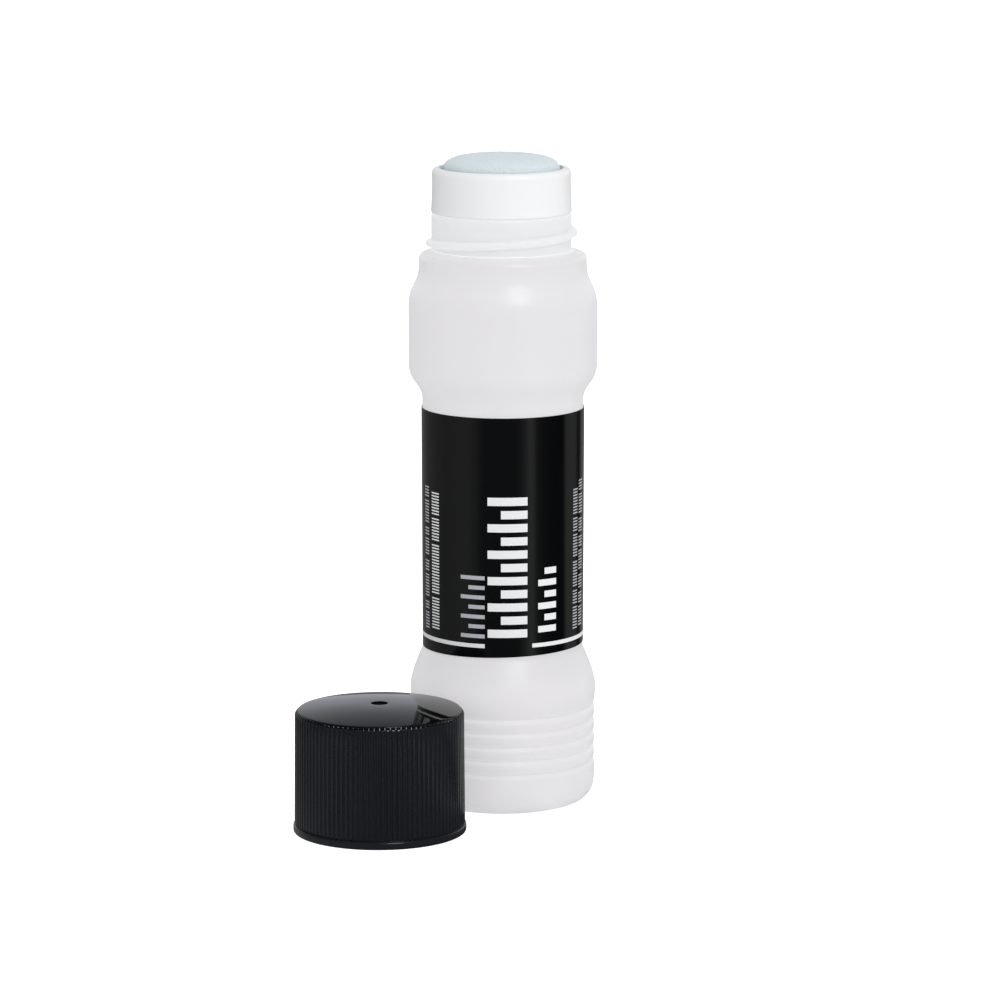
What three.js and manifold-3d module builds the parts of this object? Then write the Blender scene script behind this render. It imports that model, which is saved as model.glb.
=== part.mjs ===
// A refillable squeeze paint marker with its screw cap standing beside it.
//
// The marker is a blow-moulded bottle with a pinched waist, ring ribs near the foot and a threaded neck.
// A plug-in head carries a round fabric tip on a foam core over a perforated plate, and two steel balls
// stir the paint. Lengths are millimetres, +Z is up, and the origin is on the table, in the middle of the
// ground that the marker and its cap cover together.

import * as THREE from "three";
import { mergeVertices } from "three/addons/utils/BufferGeometryUtils.js";
import Module from "manifold-3d";

const wasm = await Module();
wasm.setup();

// Driving dimensions

// Gaps and faceting
const SEAT_GAP = 0.3; // left between two pieces that rest on each other
const FILM_GAP = 0.05; // between the waist and the label wrapped round it
const OUTER_SIDES = 40; // facets round an outside surface
const INNER_SIDES = 32; // facets round a hidden or inside surface
const CURVE_STEPS = 3; // straight steps along each curve of an outside profile
const INNER_CURVE_STEPS = 2; // the same for an inside profile
const SLIVER = 0.01; // edges shorter than this are closed up after a boolean

// Bottle, from the table up
const WALL = 1.0;
const FOOT_RADIUS = 19.2;
const FOOT_ROUND = 5.4;
const FOOT_HEIGHT = 9.1; // table to the lowest groove
const STANDING_RING_WIDTH = 2.4;
const BASE_PANEL_SLOPE = 1.8; // standing ring to the raised panel inside it
const BASE_PANEL_RISE = 1.0;
const GROOVE_COUNT = 5;
const GROOVE_PITCH = 2.93;
const GROOVE_DEPTH = 0.6;
const RIDGE_SETBACK = 0.05; // foot's side to the tops of the ridges above it
const LOWER_BULGE_STEP = 0.18; // foot's side out to the widest ring above the grooves
const LOWER_BULGE_RISE = 3.6; // top groove to the widest ring above it
const LOWER_FLARE_LENGTH = 8.6;
const LOWER_FLARE_FULLNESS = 2.5; // height over which the flare stays upright
const WAIST_RADIUS = 16.72;
const WAIST_LENGTH = 51.6;
const UPPER_FLARE_LENGTH = 7.8;
const UPPER_BULGE_RADIUS = 19.55;
const UPPER_BULGE_LENGTH = 12.0;
const SHOULDER_TAPER_LENGTH = 9.0;
const SHOULDER_RADIUS = 17.35;
const SHOULDER_BAND = 1.9;
const SHOULDER_ROUND = 1.1;
const SHOULDER_RISE = 0.7; // slope of the ledge that the cap closes on
const NECK_RADIUS = 14.5;
const NECK_HEIGHT = 7.2;
const NECK_WALL = 1.5;
const NECK_LIP_ROUND = 0.9;

// Screw thread, on the neck and in the cap
const THREAD_PITCH = 4.6;
const THREAD_DEPTH = 1.15;
const THREAD_WIDTH = 2.0;
const THREAD_CREST_WIDTH = 0.9;
const THREAD_START_DEG = 130; // off the facet lines, so no edge of the ridge runs along one
const THREAD_TURNS = 0.9;
const THREAD_FIRST_RISE = 0.8; // neck root to the middle of the thread where it starts
const CAP_THREAD_WIDTH = 1.9;
const CAP_THREAD_TURNS = 1.0;
const CAP_THREAD_FIRST_RISE = 1.8;
const CAP_THREAD_START_DEG = 4;
const THREAD_RUN_OUT_DEG = 27;
const THREAD_ROOT_BITE = 0.5; // how far a thread's foot sinks into the wall that carries it

// Label film
const LABEL_THICKNESS = 0.15;
const LABEL_LOWER_MARGIN = 0.8;
const LABEL_UPPER_MARGIN = 1.2;

// Head that plugs into the neck
const COLLAR_HEIGHT = 9.6;
const COLLAR_FOOT_RADIUS = 14.55;
const COLLAR_MIDDLE_RADIUS = 14.25;
const COLLAR_TOP_RADIUS = 14.35;
const COLLAR_ROUND = 1.2;
const COLLAR_FOOT_ROUND = 0.45;
const COLLAR_FLOOR = 1.5;
const COLLAR_MOUTH_BEVEL = 0.25;
const PLUG_LENGTH = 10.5;
const PLUG_WALL = 1.5;
const PLUG_CLEARANCE = 0.35;
const PLUG_BEAD_HEIGHT = 0.15;
const PLUG_BEAD_WIDTH = 1.6;
const PLUG_BEAD_PITCH = 3.2;
const PLUG_BEAD_COUNT = 2;
const FLOW_PLATE_THICKNESS = 1.2;
const FLOW_PLATE_CLEARANCE = 0.3;
const FLOW_HOLE_RADIUS = 1.1;
const FLOW_HOLE_SPACING = 4.3;
const FLOW_HOLE_RINGS = 2;
const FLOW_HOLE_SIDES = 8;
const CLAMP_RING_HEIGHT = 1.2;
const CLAMP_RING_WIDTH = 0.9;

// Tip
const TIP_RADIUS = 12.5;
const TIP_RUNNING_GAP = 0.3;
const TIP_DOME_HEIGHT = 2.8; // above the collar
const TIP_DOME_RISE = 0.5; // share of the dome's height that its side pulls straight up
const TIP_DOME_FULLNESS = 10.2; // radius that the flat middle of the dome reaches for
const TIP_FABRIC = 0.8;
const TIP_TRAVEL = 2.0; // how far the foam gives when the tip is pressed

// Cap
const CAP_THREAD_CLEARANCE = 0.3;
const CAP_WALL = 1.2;
const CAP_DRAFT = 0.17;
const CAP_RIB_COUNT = 100;
const CAP_RIB_HEIGHT = 0.35;
const CAP_BAND_HEIGHT = 1.6;
const CAP_BAND_STEP = 0.4; // how far the smooth band at the mouth stands out past the ribs
const CAP_BAND_ROUND = 0.3;
const CAP_EDGE_ROUND = 0.5;
const CAP_TOP_WALL = 1.6;
const CAP_CROWN = 1.5; // edge to the middle of the domed top
const CAP_GATE_RADIUS = 1.5;
const CAP_GATE_DEPTH = 0.5;
const CAP_TIP_CLEARANCE = 1.5;
const CAP_SKIRT_WALL = 1.0;
const CAP_SKIRT_SETBACK = 0.45; // collar edge to the outside of the sealing skirt
const LINER_THICKNESS = 2.0;
const LINER_CLEARANCE = 0.3;
const CAP_STANDING_GAP = 0.59; // between the cap and the widest ring of the bottle beside it
const CAP_BEARING_DEG = 228.075; // where the cap stands, turned from +X about the bottle

// Mixing balls
const BALL_RADIUS = 3.0;
const BALL_SIDES = 16;
const BALL_SPACING = 7.0; // between the two balls' centres

// Heights above the table that follow from the sizes above
const TOP_GROOVE_Z = FOOT_HEIGHT + (GROOVE_COUNT - 1) * GROOVE_PITCH;
const LOWER_BULGE_Z = TOP_GROOVE_Z + LOWER_BULGE_RISE;
const WAIST_BOTTOM_Z = LOWER_BULGE_Z + LOWER_FLARE_LENGTH;
const WAIST_TOP_Z = WAIST_BOTTOM_Z + WAIST_LENGTH;
const UPPER_BULGE_Z = WAIST_TOP_Z + UPPER_FLARE_LENGTH;
const SHOULDER_TAPER_Z = UPPER_BULGE_Z + UPPER_BULGE_LENGTH;
const SHOULDER_Z = SHOULDER_TAPER_Z + SHOULDER_TAPER_LENGTH;
const LEDGE_Z = SHOULDER_Z + SHOULDER_BAND;
const NECK_ROOT_Z = LEDGE_Z + SHOULDER_RISE;
const NECK_TOP_Z = NECK_ROOT_Z + NECK_HEIGHT;
const COLLAR_Z = NECK_TOP_Z + SEAT_GAP;
const COLLAR_TOP_Z = COLLAR_Z + COLLAR_HEIGHT;
const FLOW_PLATE_Z = COLLAR_Z + COLLAR_FLOOR + SEAT_GAP;
const TIP_FLOOR_Z = FLOW_PLATE_Z + FLOW_PLATE_THICKNESS + SEAT_GAP;
const TIP_HEM_Z = TIP_FLOOR_Z + CLAMP_RING_HEIGHT + SEAT_GAP + TIP_TRAVEL;
const TIP_TOP_Z = COLLAR_TOP_Z + TIP_DOME_HEIGHT;
const CAP_SEAT_Z = NECK_ROOT_Z + SEAT_GAP;

// Radii that follow from the sizes above
const RIDGE_RADIUS = FOOT_RADIUS - RIDGE_SETBACK;
const GROOVE_RADIUS = RIDGE_RADIUS - GROOVE_DEPTH;
const LOWER_BULGE_RADIUS = FOOT_RADIUS + LOWER_BULGE_STEP;
const STANDING_RADIUS = FOOT_RADIUS - FOOT_ROUND;
const STANDING_BORE = STANDING_RADIUS - STANDING_RING_WIDTH;
const BASE_PANEL_RADIUS = STANDING_BORE - BASE_PANEL_SLOPE;
const NECK_BORE = NECK_RADIUS - NECK_WALL;
const PLUG_RADIUS = NECK_BORE - PLUG_CLEARANCE - PLUG_BEAD_HEIGHT;
const PLUG_BORE = PLUG_RADIUS - PLUG_WALL;
const TIP_MOUTH_RADIUS = TIP_RADIUS + TIP_RUNNING_GAP;
const FOAM_RADIUS = TIP_RADIUS - TIP_FABRIC - SEAT_GAP;
const CAP_BORE = NECK_RADIUS + THREAD_DEPTH + CAP_THREAD_CLEARANCE;
const CAP_RIB_ROOT = CAP_BORE + CAP_WALL;
const CAP_SKIRT_RADIUS = COLLAR_TOP_RADIUS - CAP_SKIRT_SETBACK;

// Heights inside the cap, above its own mouth
const LINER_Z = TIP_TOP_Z - CAP_SEAT_Z + CAP_TIP_CLEARANCE;
const CAP_CEILING_Z = LINER_Z + LINER_THICKNESS + SEAT_GAP;
const CAP_EDGE_Z = CAP_CEILING_Z + CAP_TOP_WALL;
const CAP_SKIRT_Z = COLLAR_TOP_Z - CAP_SEAT_Z + SEAT_GAP;

// Solids and geometry

// A revolved solid about +Z. The path gives (radius, height) and starts and ends on the axis, or closes.
function revolve(path, sides, steps = CURVE_STEPS) {
  const geometry = new THREE.LatheGeometry(path.getPoints(steps), sides);
  return geometry.rotateX(Math.PI / 2);
}

// A closed geometry as a manifold solid, for joining and cutting.
function solidOf(geometry) {
  const bare = new THREE.BufferGeometry().setAttribute("position", geometry.getAttribute("position"));
  bare.setIndex(geometry.index);
  const merged = mergeVertices(bare, 1e-4);
  const corners = Array.from(merged.index.array);
  const kept = [];
  for (let i = 0; i < corners.length; i += 3) {
    const [a, b, c] = corners.slice(i, i + 3);
    if (a !== b && b !== c && c !== a) kept.push(a, b, c);
  }
  const mesh = new wasm.Mesh({
    numProp: 3,
    vertProperties: merged.getAttribute("position").array,
    triVerts: new Uint32Array(kept),
  });
  return new wasm.Manifold(mesh);
}

// A manifold solid as a geometry that three.js can draw.
function geometryOf(solid) {
  const mesh = solid.simplify(SLIVER).getMesh();
  const geometry = new THREE.BufferGeometry();
  geometry.setAttribute("position", new THREE.BufferAttribute(mesh.vertProperties, 3));
  geometry.setIndex(new THREE.BufferAttribute(mesh.triVerts, 1));
  const flat = geometry.toNonIndexed();
  flat.computeVertexNormals();
  return flat;
}

// A closed skin through equal rings of points, with a flat fan over the first and the last ring.
function skinOf(rings) {
  const count = rings[0].length;
  const points = rings.flat();
  const triangles = [];
  for (let i = 0; i + 1 < rings.length; i++) {
    for (let j = 0; j < count; j++) {
      const a = i * count + j;
      const b = i * count + ((j + 1) % count);
      triangles.push(a, b, a + count, b, b + count, a + count);
    }
  }
  const last = (rings.length - 1) * count;
  for (let j = 1; j + 1 < count; j++) {
    triangles.push(0, j + 1, j, last, last + j, last + j + 1);
  }
  const geometry = new THREE.BufferGeometry().setFromPoints(points);
  geometry.setIndex(triangles);
  return geometry;
}

// A point from its radius, its angle about +Z in radians and its height.
function polar(radius, angle, z) {
  return new THREE.Vector3(radius * Math.cos(angle), radius * Math.sin(angle), z);
}

// A right-handed screw ridge. direction is 1 for a ridge that stands out from a neck and -1 for one
// that stands in from a bore. It runs out to nothing at both ends.
function threadRidge({ root, direction, width, turns, firstZ, startDeg }) {
  const stepDeg = 360 / OUTER_SIDES;
  const steps = Math.round((turns * 360) / stepDeg);
  const rings = [];
  for (let i = 0; i <= steps; i++) {
    const turned = i * stepDeg;
    const fromEnd = Math.min(turned, steps * stepDeg - turned);
    const height = Math.sin((Math.PI / 2) * Math.min(1, 0.08 + fromEnd / THREAD_RUN_OUT_DEG));
    const angle = THREE.MathUtils.degToRad(startDeg + turned);
    const z = firstZ + (THREAD_PITCH * turned) / 360;
    const foot = root - direction * THREAD_ROOT_BITE;
    const crest = root + direction * THREAD_DEPTH * height;
    const crestHalf = (THREAD_CREST_WIDTH / 2) * height;
    const flank = ((width / 2) * height - crestHalf) / (THREAD_DEPTH * height);
    const footHalf = crestHalf + flank * (THREAD_DEPTH * height + THREAD_ROOT_BITE);
    const section = [
      [foot, -footHalf],
      [crest, -crestHalf],
      [crest, crestHalf],
      [foot, footHalf],
    ];
    if (direction > 0) section.reverse();
    rings.push(section.map(([r, up]) => polar(r, angle, z + up)));
  }
  return skinOf(rings);
}

// An S-shaped wall that leaves and arrives upright.
function easeTo(path, fromRadius, fromZ, toRadius, toZ) {
  const middle = (fromZ + toZ) / 2;
  path.bezierCurveTo(fromRadius, middle, toRadius, middle, toRadius, toZ);
}

// The bottle's side from the top of the foot's rounding to the shoulder ledge, set in by inset.
function bottleSide(path, inset) {
  const ridge = RIDGE_RADIUS + GROOVE_DEPTH - inset; // a parabola through this point peaks at the ridge
  const groove = GROOVE_RADIUS - inset;
  path.lineTo(FOOT_RADIUS - inset, FOOT_HEIGHT - GROOVE_PITCH / 2);
  path.lineTo(groove, FOOT_HEIGHT);
  for (let i = 1; i < GROOVE_COUNT; i++) {
    const z = FOOT_HEIGHT + i * GROOVE_PITCH;
    path.quadraticCurveTo(ridge, z - GROOVE_PITCH / 2, groove, z);
  }
  const lowerBulge = LOWER_BULGE_RADIUS - inset;
  const waist = WAIST_RADIUS - inset;
  const upperBulge = UPPER_BULGE_RADIUS - inset;
  const shoulder = SHOULDER_RADIUS - inset;
  path.quadraticCurveTo(lowerBulge, TOP_GROOVE_Z + GROOVE_PITCH / 2, lowerBulge, LOWER_BULGE_Z);
  path.quadraticCurveTo(lowerBulge, LOWER_BULGE_Z + LOWER_FLARE_FULLNESS, waist, WAIST_BOTTOM_Z);
  path.lineTo(waist, WAIST_TOP_Z);
  easeTo(path, waist, WAIST_TOP_Z, upperBulge, UPPER_BULGE_Z);
  path.lineTo(upperBulge, SHOULDER_TAPER_Z);
  easeTo(path, upperBulge, SHOULDER_TAPER_Z, shoulder, SHOULDER_Z);
  path.lineTo(shoulder, LEDGE_Z - SHOULDER_ROUND - inset);
  path.quadraticCurveTo(shoulder, LEDGE_Z - inset, shoulder - SHOULDER_ROUND, LEDGE_Z - inset);
}

// Bottle pieces

function bottleBody() {
  const outside = new THREE.Path();
  outside.moveTo(0, BASE_PANEL_RISE);
  outside.lineTo(BASE_PANEL_RADIUS, BASE_PANEL_RISE);
  outside.lineTo(STANDING_BORE, 0);
  outside.lineTo(STANDING_RADIUS, 0);
  outside.quadraticCurveTo(FOOT_RADIUS, 0, FOOT_RADIUS, FOOT_ROUND);
  bottleSide(outside, 0);
  outside.lineTo(NECK_RADIUS, NECK_ROOT_Z);
  outside.lineTo(NECK_RADIUS, NECK_TOP_Z - NECK_LIP_ROUND);
  outside.quadraticCurveTo(NECK_RADIUS, NECK_TOP_Z, NECK_RADIUS - NECK_LIP_ROUND, NECK_TOP_Z);
  outside.lineTo(0, NECK_TOP_Z);

  const inside = new THREE.Path();
  const floorZ = BASE_PANEL_RISE + WALL;
  inside.moveTo(0, floorZ);
  inside.lineTo(BASE_PANEL_RADIUS, floorZ);
  inside.lineTo(STANDING_BORE, WALL);
  inside.lineTo(STANDING_RADIUS, WALL);
  inside.quadraticCurveTo(FOOT_RADIUS - WALL, WALL, FOOT_RADIUS - WALL, FOOT_ROUND);
  bottleSide(inside, WALL);
  inside.lineTo(NECK_BORE, NECK_ROOT_Z - WALL);
  inside.lineTo(NECK_BORE, NECK_TOP_Z + WALL);
  inside.lineTo(0, NECK_TOP_Z + WALL);

  const thread = threadRidge({
    root: NECK_RADIUS,
    direction: 1,
    width: THREAD_WIDTH,
    turns: THREAD_TURNS,
    firstZ: NECK_ROOT_Z + THREAD_FIRST_RISE,
    startDeg: THREAD_START_DEG,
  });
  const shell = solidOf(revolve(outside, OUTER_SIDES)).add(solidOf(thread));
  const cavity = solidOf(revolve(inside, INNER_SIDES, INNER_CURVE_STEPS));
  return geometryOf(shell.subtract(cavity));
}

function labelSleeve() {
  const inner = WAIST_RADIUS + FILM_GAP;
  const bottom = WAIST_BOTTOM_Z + LABEL_LOWER_MARGIN;
  const top = WAIST_TOP_Z - LABEL_UPPER_MARGIN;
  const film = new THREE.Path();
  film.moveTo(inner, bottom);
  film.lineTo(inner + LABEL_THICKNESS, bottom);
  film.lineTo(inner + LABEL_THICKNESS, top);
  film.lineTo(inner, top);
  film.lineTo(inner, bottom);
  return revolve(film, OUTER_SIDES);
}

function mixingBall() {
  return new THREE.SphereGeometry(BALL_RADIUS, BALL_SIDES, BALL_SIDES / 2);
}

// Head pieces

function headCollar() {
  const plugFootZ = COLLAR_Z - PLUG_LENGTH;
  const body = new THREE.Path();
  body.moveTo(PLUG_BORE, plugFootZ);
  body.lineTo(PLUG_RADIUS - PLUG_BEAD_HEIGHT, plugFootZ);
  for (let i = 0; i < PLUG_BEAD_COUNT; i++) {
    const beadZ = plugFootZ + (i + 0.5) * PLUG_BEAD_PITCH;
    body.lineTo(PLUG_RADIUS, beadZ - PLUG_BEAD_WIDTH / 2);
    body.quadraticCurveTo(
      PLUG_RADIUS + 2 * PLUG_BEAD_HEIGHT,
      beadZ,
      PLUG_RADIUS,
      beadZ + PLUG_BEAD_WIDTH / 2,
    );
  }
  body.lineTo(PLUG_RADIUS, COLLAR_Z);
  body.lineTo(COLLAR_FOOT_RADIUS - COLLAR_FOOT_ROUND, COLLAR_Z);
  body.quadraticCurveTo(
    COLLAR_FOOT_RADIUS,
    COLLAR_Z,
    COLLAR_FOOT_RADIUS,
    COLLAR_Z + COLLAR_FOOT_ROUND,
  );
  body.quadraticCurveTo(
    COLLAR_MIDDLE_RADIUS,
    COLLAR_Z + COLLAR_HEIGHT / 2,
    COLLAR_TOP_RADIUS,
    COLLAR_TOP_Z - COLLAR_ROUND,
  );
  body.quadraticCurveTo(
    COLLAR_TOP_RADIUS,
    COLLAR_TOP_Z,
    COLLAR_TOP_RADIUS - COLLAR_ROUND,
    COLLAR_TOP_Z,
  );
  body.lineTo(TIP_MOUTH_RADIUS + COLLAR_MOUTH_BEVEL / 2, COLLAR_TOP_Z);
  body.lineTo(TIP_MOUTH_RADIUS, COLLAR_TOP_Z - COLLAR_MOUTH_BEVEL);
  body.lineTo(TIP_MOUTH_RADIUS, COLLAR_Z + COLLAR_FLOOR);
  body.lineTo(PLUG_BORE, COLLAR_Z + COLLAR_FLOOR);
  body.lineTo(PLUG_BORE, plugFootZ);
  return revolve(body, OUTER_SIDES);
}

function flowPlate() {
  const plate = new THREE.Shape();
  plate.absarc(0, 0, TIP_MOUTH_RADIUS - FLOW_PLATE_CLEARANCE, 0, 2 * Math.PI);
  const addHole = (x, y) => {
    const hole = new THREE.Path();
    for (let i = 0; i < FLOW_HOLE_SIDES; i++) {
      const angle = (-2 * Math.PI * i) / FLOW_HOLE_SIDES;
      const corner = [x + FLOW_HOLE_RADIUS * Math.cos(angle), y + FLOW_HOLE_RADIUS * Math.sin(angle)];
      if (i === 0) hole.moveTo(...corner);
      else hole.lineTo(...corner);
    }
    hole.closePath();
    plate.holes.push(hole);
  };
  addHole(0, 0);
  for (let ring = 1; ring <= FLOW_HOLE_RINGS; ring++) {
    const count = 6 * ring;
    for (let i = 0; i < count; i++) {
      const angle = (2 * Math.PI * i) / count;
      const radius = ring * FLOW_HOLE_SPACING;
      addHole(radius * Math.cos(angle), radius * Math.sin(angle));
    }
  }
  return new THREE.ExtrudeGeometry(plate, {
    depth: FLOW_PLATE_THICKNESS,
    bevelEnabled: false,
    curveSegments: INNER_SIDES / 2,
  });
}

function clampRing() {
  const outer = TIP_MOUTH_RADIUS - FLOW_PLATE_CLEARANCE;
  const ring = new THREE.Path();
  ring.moveTo(outer - CLAMP_RING_WIDTH, 0);
  ring.lineTo(outer, 0);
  ring.lineTo(outer, CLAMP_RING_HEIGHT);
  ring.lineTo(outer - CLAMP_RING_WIDTH, CLAMP_RING_HEIGHT);
  ring.lineTo(outer - CLAMP_RING_WIDTH, 0);
  return revolve(ring, INNER_SIDES);
}

// The dome of the tip from its side to the axis, set in by inset.
function tipDome(path, inset) {
  const side = TIP_RADIUS - inset;
  const top = TIP_TOP_Z - inset;
  const spring = COLLAR_TOP_Z - inset / 2;
  const rise = spring + (TIP_DOME_HEIGHT - inset / 2) * TIP_DOME_RISE;
  path.lineTo(side, spring);
  path.bezierCurveTo(side, rise, TIP_DOME_FULLNESS, top, 0, top);
}

function tipFoamCore() {
  const radius = Math.min(FOAM_RADIUS, TIP_MOUTH_RADIUS - FLOW_PLATE_CLEARANCE - CLAMP_RING_WIDTH - SEAT_GAP);
  const core = new THREE.Path();
  core.moveTo(0, TIP_FLOOR_Z);
  core.lineTo(radius, TIP_FLOOR_Z);
  tipDome(core, TIP_RADIUS - radius);
  return revolve(core, INNER_SIDES);
}

function tipFabricCover() {
  const outside = new THREE.Path();
  outside.moveTo(0, TIP_HEM_Z);
  outside.lineTo(TIP_RADIUS, TIP_HEM_Z);
  tipDome(outside, 0);
  const inside = new THREE.Path();
  inside.moveTo(0, TIP_HEM_Z - TIP_FABRIC);
  inside.lineTo(TIP_RADIUS - TIP_FABRIC, TIP_HEM_Z - TIP_FABRIC);
  tipDome(inside, TIP_FABRIC);
  const shell = solidOf(revolve(outside, OUTER_SIDES));
  return geometryOf(shell.subtract(solidOf(revolve(inside, OUTER_SIDES))));
}

// Cap pieces

// The cap's plain wall, top and sealing skirt, as one revolved solid.
function capWall() {
  const band = CAP_RIB_ROOT + CAP_RIB_HEIGHT + CAP_BAND_STEP - CAP_DRAFT;
  const wallTop = CAP_RIB_ROOT + CAP_RIB_HEIGHT - CAP_DRAFT;
  const hidden = CAP_RIB_ROOT - CAP_DRAFT - THREAD_ROOT_BITE / 2; // behind the ribs' barrel
  const edgeBottom = CAP_EDGE_Z - CAP_EDGE_ROUND;
  const crownZ = CAP_EDGE_Z + CAP_CROWN;
  const skirtInner = CAP_SKIRT_RADIUS - CAP_SKIRT_WALL;
  const shell = new THREE.Path();
  shell.moveTo(0, CAP_CEILING_Z + CAP_CROWN);
  shell.quadraticCurveTo(skirtInner / 2, CAP_CEILING_Z + CAP_CROWN, skirtInner, CAP_CEILING_Z);
  shell.lineTo(skirtInner, CAP_SKIRT_Z);
  shell.lineTo(CAP_SKIRT_RADIUS, CAP_SKIRT_Z);
  shell.lineTo(CAP_SKIRT_RADIUS, CAP_CEILING_Z);
  shell.lineTo(CAP_BORE, CAP_CEILING_Z);
  shell.lineTo(CAP_BORE, 0);
  shell.lineTo(band - CAP_BAND_ROUND, 0);
  shell.lineTo(band, CAP_BAND_ROUND);
  shell.lineTo(band, CAP_BAND_HEIGHT - CAP_BAND_ROUND);
  shell.lineTo(band - CAP_BAND_ROUND, CAP_BAND_HEIGHT);
  shell.lineTo(hidden, CAP_BAND_HEIGHT);
  shell.lineTo(hidden, edgeBottom);
  shell.lineTo(wallTop, edgeBottom);
  shell.quadraticCurveTo(wallTop, CAP_EDGE_Z, wallTop - CAP_EDGE_ROUND, CAP_EDGE_Z);
  shell.quadraticCurveTo((wallTop - CAP_EDGE_ROUND) / 2, crownZ, CAP_GATE_RADIUS, crownZ);
  shell.lineTo(CAP_GATE_RADIUS, crownZ - CAP_GATE_DEPTH);
  shell.lineTo(0, crownZ - CAP_GATE_DEPTH);
  return revolve(shell, OUTER_SIDES);
}

// The ribbed barrel round the cap: one tooth to a rib, leaning in by the draft towards the top.
function capRibs() {
  const columns = 2 * CAP_RIB_COUNT;
  const ringAt = (z, root, tooth) =>
    Array.from({ length: columns }, (_, i) =>
      polar(root + (i % 2 ? tooth : 0), (2 * Math.PI * i) / columns, z),
    );
  const bottom = CAP_BAND_HEIGHT - CAP_BAND_ROUND;
  const top = CAP_EDGE_Z - CAP_EDGE_ROUND / 2;
  const rings = [
    ringAt(bottom, CAP_RIB_ROOT, CAP_RIB_HEIGHT),
    ringAt(top - CAP_EDGE_ROUND, CAP_RIB_ROOT - CAP_DRAFT, CAP_RIB_HEIGHT),
    ringAt(top, CAP_RIB_ROOT - CAP_DRAFT - CAP_RIB_HEIGHT, 0),
  ];
  const barrel = skinOf(rings);
  const core = new THREE.Path();
  core.moveTo(0, 0);
  core.lineTo(CAP_BORE + CAP_WALL / 2, 0);
  core.lineTo(CAP_BORE + CAP_WALL / 2, CAP_EDGE_Z);
  core.lineTo(0, CAP_EDGE_Z);
  return solidOf(barrel).subtract(solidOf(revolve(core, OUTER_SIDES)));
}

function capShell() {
  const thread = threadRidge({
    root: CAP_BORE,
    direction: -1,
    width: CAP_THREAD_WIDTH,
    turns: CAP_THREAD_TURNS,
    firstZ: CAP_THREAD_FIRST_RISE,
    startDeg: CAP_THREAD_START_DEG,
  });
  return geometryOf(solidOf(capWall()).add(capRibs()).add(solidOf(thread)));
}

function capLiner() {
  const radius = CAP_SKIRT_RADIUS - CAP_SKIRT_WALL - LINER_CLEARANCE;
  const disc = new THREE.Path();
  disc.moveTo(0, 0);
  disc.lineTo(radius, 0);
  disc.lineTo(radius, LINER_THICKNESS);
  disc.lineTo(0, LINER_THICKNESS);
  return revolve(disc, INNER_SIDES);
}

// Materials

function finish(color, roughness, metalness = 0) {
  return new THREE.MeshStandardMaterial({ color, roughness, metalness });
}

const milkyPlastic = finish(0xe2e3e5, 0.4);
const whitePlastic = finish(0xf2f3f4, 0.35);
const blackFilm = finish(0x101113, 0.35);
const blackPlastic = finish(0x15171a, 0.25);
const paleFabric = finish(0xd6e4e6, 0.95);
const paleFoam = finish(0xe9ecec, 0.95);
const linerFoam = finish(0xf0f0ee, 0.8);
const steel = finish(0xb8babd, 0.2, 1);

// Assembly

function piece(name, geometry, material, position = [0, 0, 0]) {
  const mesh = new THREE.Mesh(geometry, material);
  mesh.name = name;
  mesh.position.set(...position);
  return mesh;
}

const ballZ = BASE_PANEL_RISE + WALL + SEAT_GAP + BALL_RADIUS;

const bottle = new THREE.Group();
bottle.add(piece("bottle_body", bottleBody(), milkyPlastic));
bottle.add(piece("label_sleeve", labelSleeve(), blackFilm));
for (const [index, side] of [-1, 1].entries()) {
  const place = [(side * BALL_SPACING) / 2, 0, ballZ];
  bottle.add(piece(`mixing_ball_${index + 1}`, mixingBall(), steel, place));
}

const head = new THREE.Group();
head.add(piece("head_collar", headCollar(), whitePlastic));
head.add(piece("flow_plate", flowPlate(), whitePlastic, [0, 0, FLOW_PLATE_Z]));
head.add(piece("tip_clamp_ring", clampRing(), whitePlastic, [0, 0, TIP_FLOOR_Z]));
head.add(piece("tip_foam_core", tipFoamCore(), paleFoam));
head.add(piece("tip_fabric_cover", tipFabricCover(), paleFabric));
bottle.add(head);

const cap = new THREE.Group();
cap.add(piece("cap_shell", capShell(), blackPlastic));
cap.add(piece("cap_liner", capLiner(), linerFoam, [0, 0, LINER_Z]));

// The origin is the middle of the ground that the two stand on.
const capRadius = CAP_RIB_ROOT + CAP_RIB_HEIGHT + CAP_BAND_STEP - CAP_DRAFT;
const bottleRadius = Math.max(UPPER_BULGE_RADIUS, LOWER_BULGE_RADIUS);
const capBearing = THREE.MathUtils.degToRad(CAP_BEARING_DEG);
const capOffset = polar(LOWER_BULGE_RADIUS + CAP_STANDING_GAP + capRadius, capBearing, 0);
const middle = (offset) => {
  const low = Math.min(-bottleRadius, offset - capRadius);
  const high = Math.max(bottleRadius, offset + capRadius);
  return (low + high) / 2;
};
bottle.position.set(-middle(capOffset.x), -middle(capOffset.y), 0);
cap.position.copy(capOffset).add(bottle.position);

const marker = new THREE.Group();
marker.name = "squeeze_paint_marker";
marker.add(bottle, cap);

export default marker;
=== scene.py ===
"""The finished look of a squeeze paint marker that stands beside its screw cap.

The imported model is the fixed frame. The mouldings, the label, the tip, the balls and the cap are drawn again
here as fine surfaces, in the places that the frame gives, and dressed in procedural finishes. The fields of
the classes are millimetres and degrees where they say nothing else, and what goes to Blender is metres.
"""

import logging
import math
from collections.abc import Callable, Sequence
from dataclasses import dataclass, field
from enum import Enum

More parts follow.
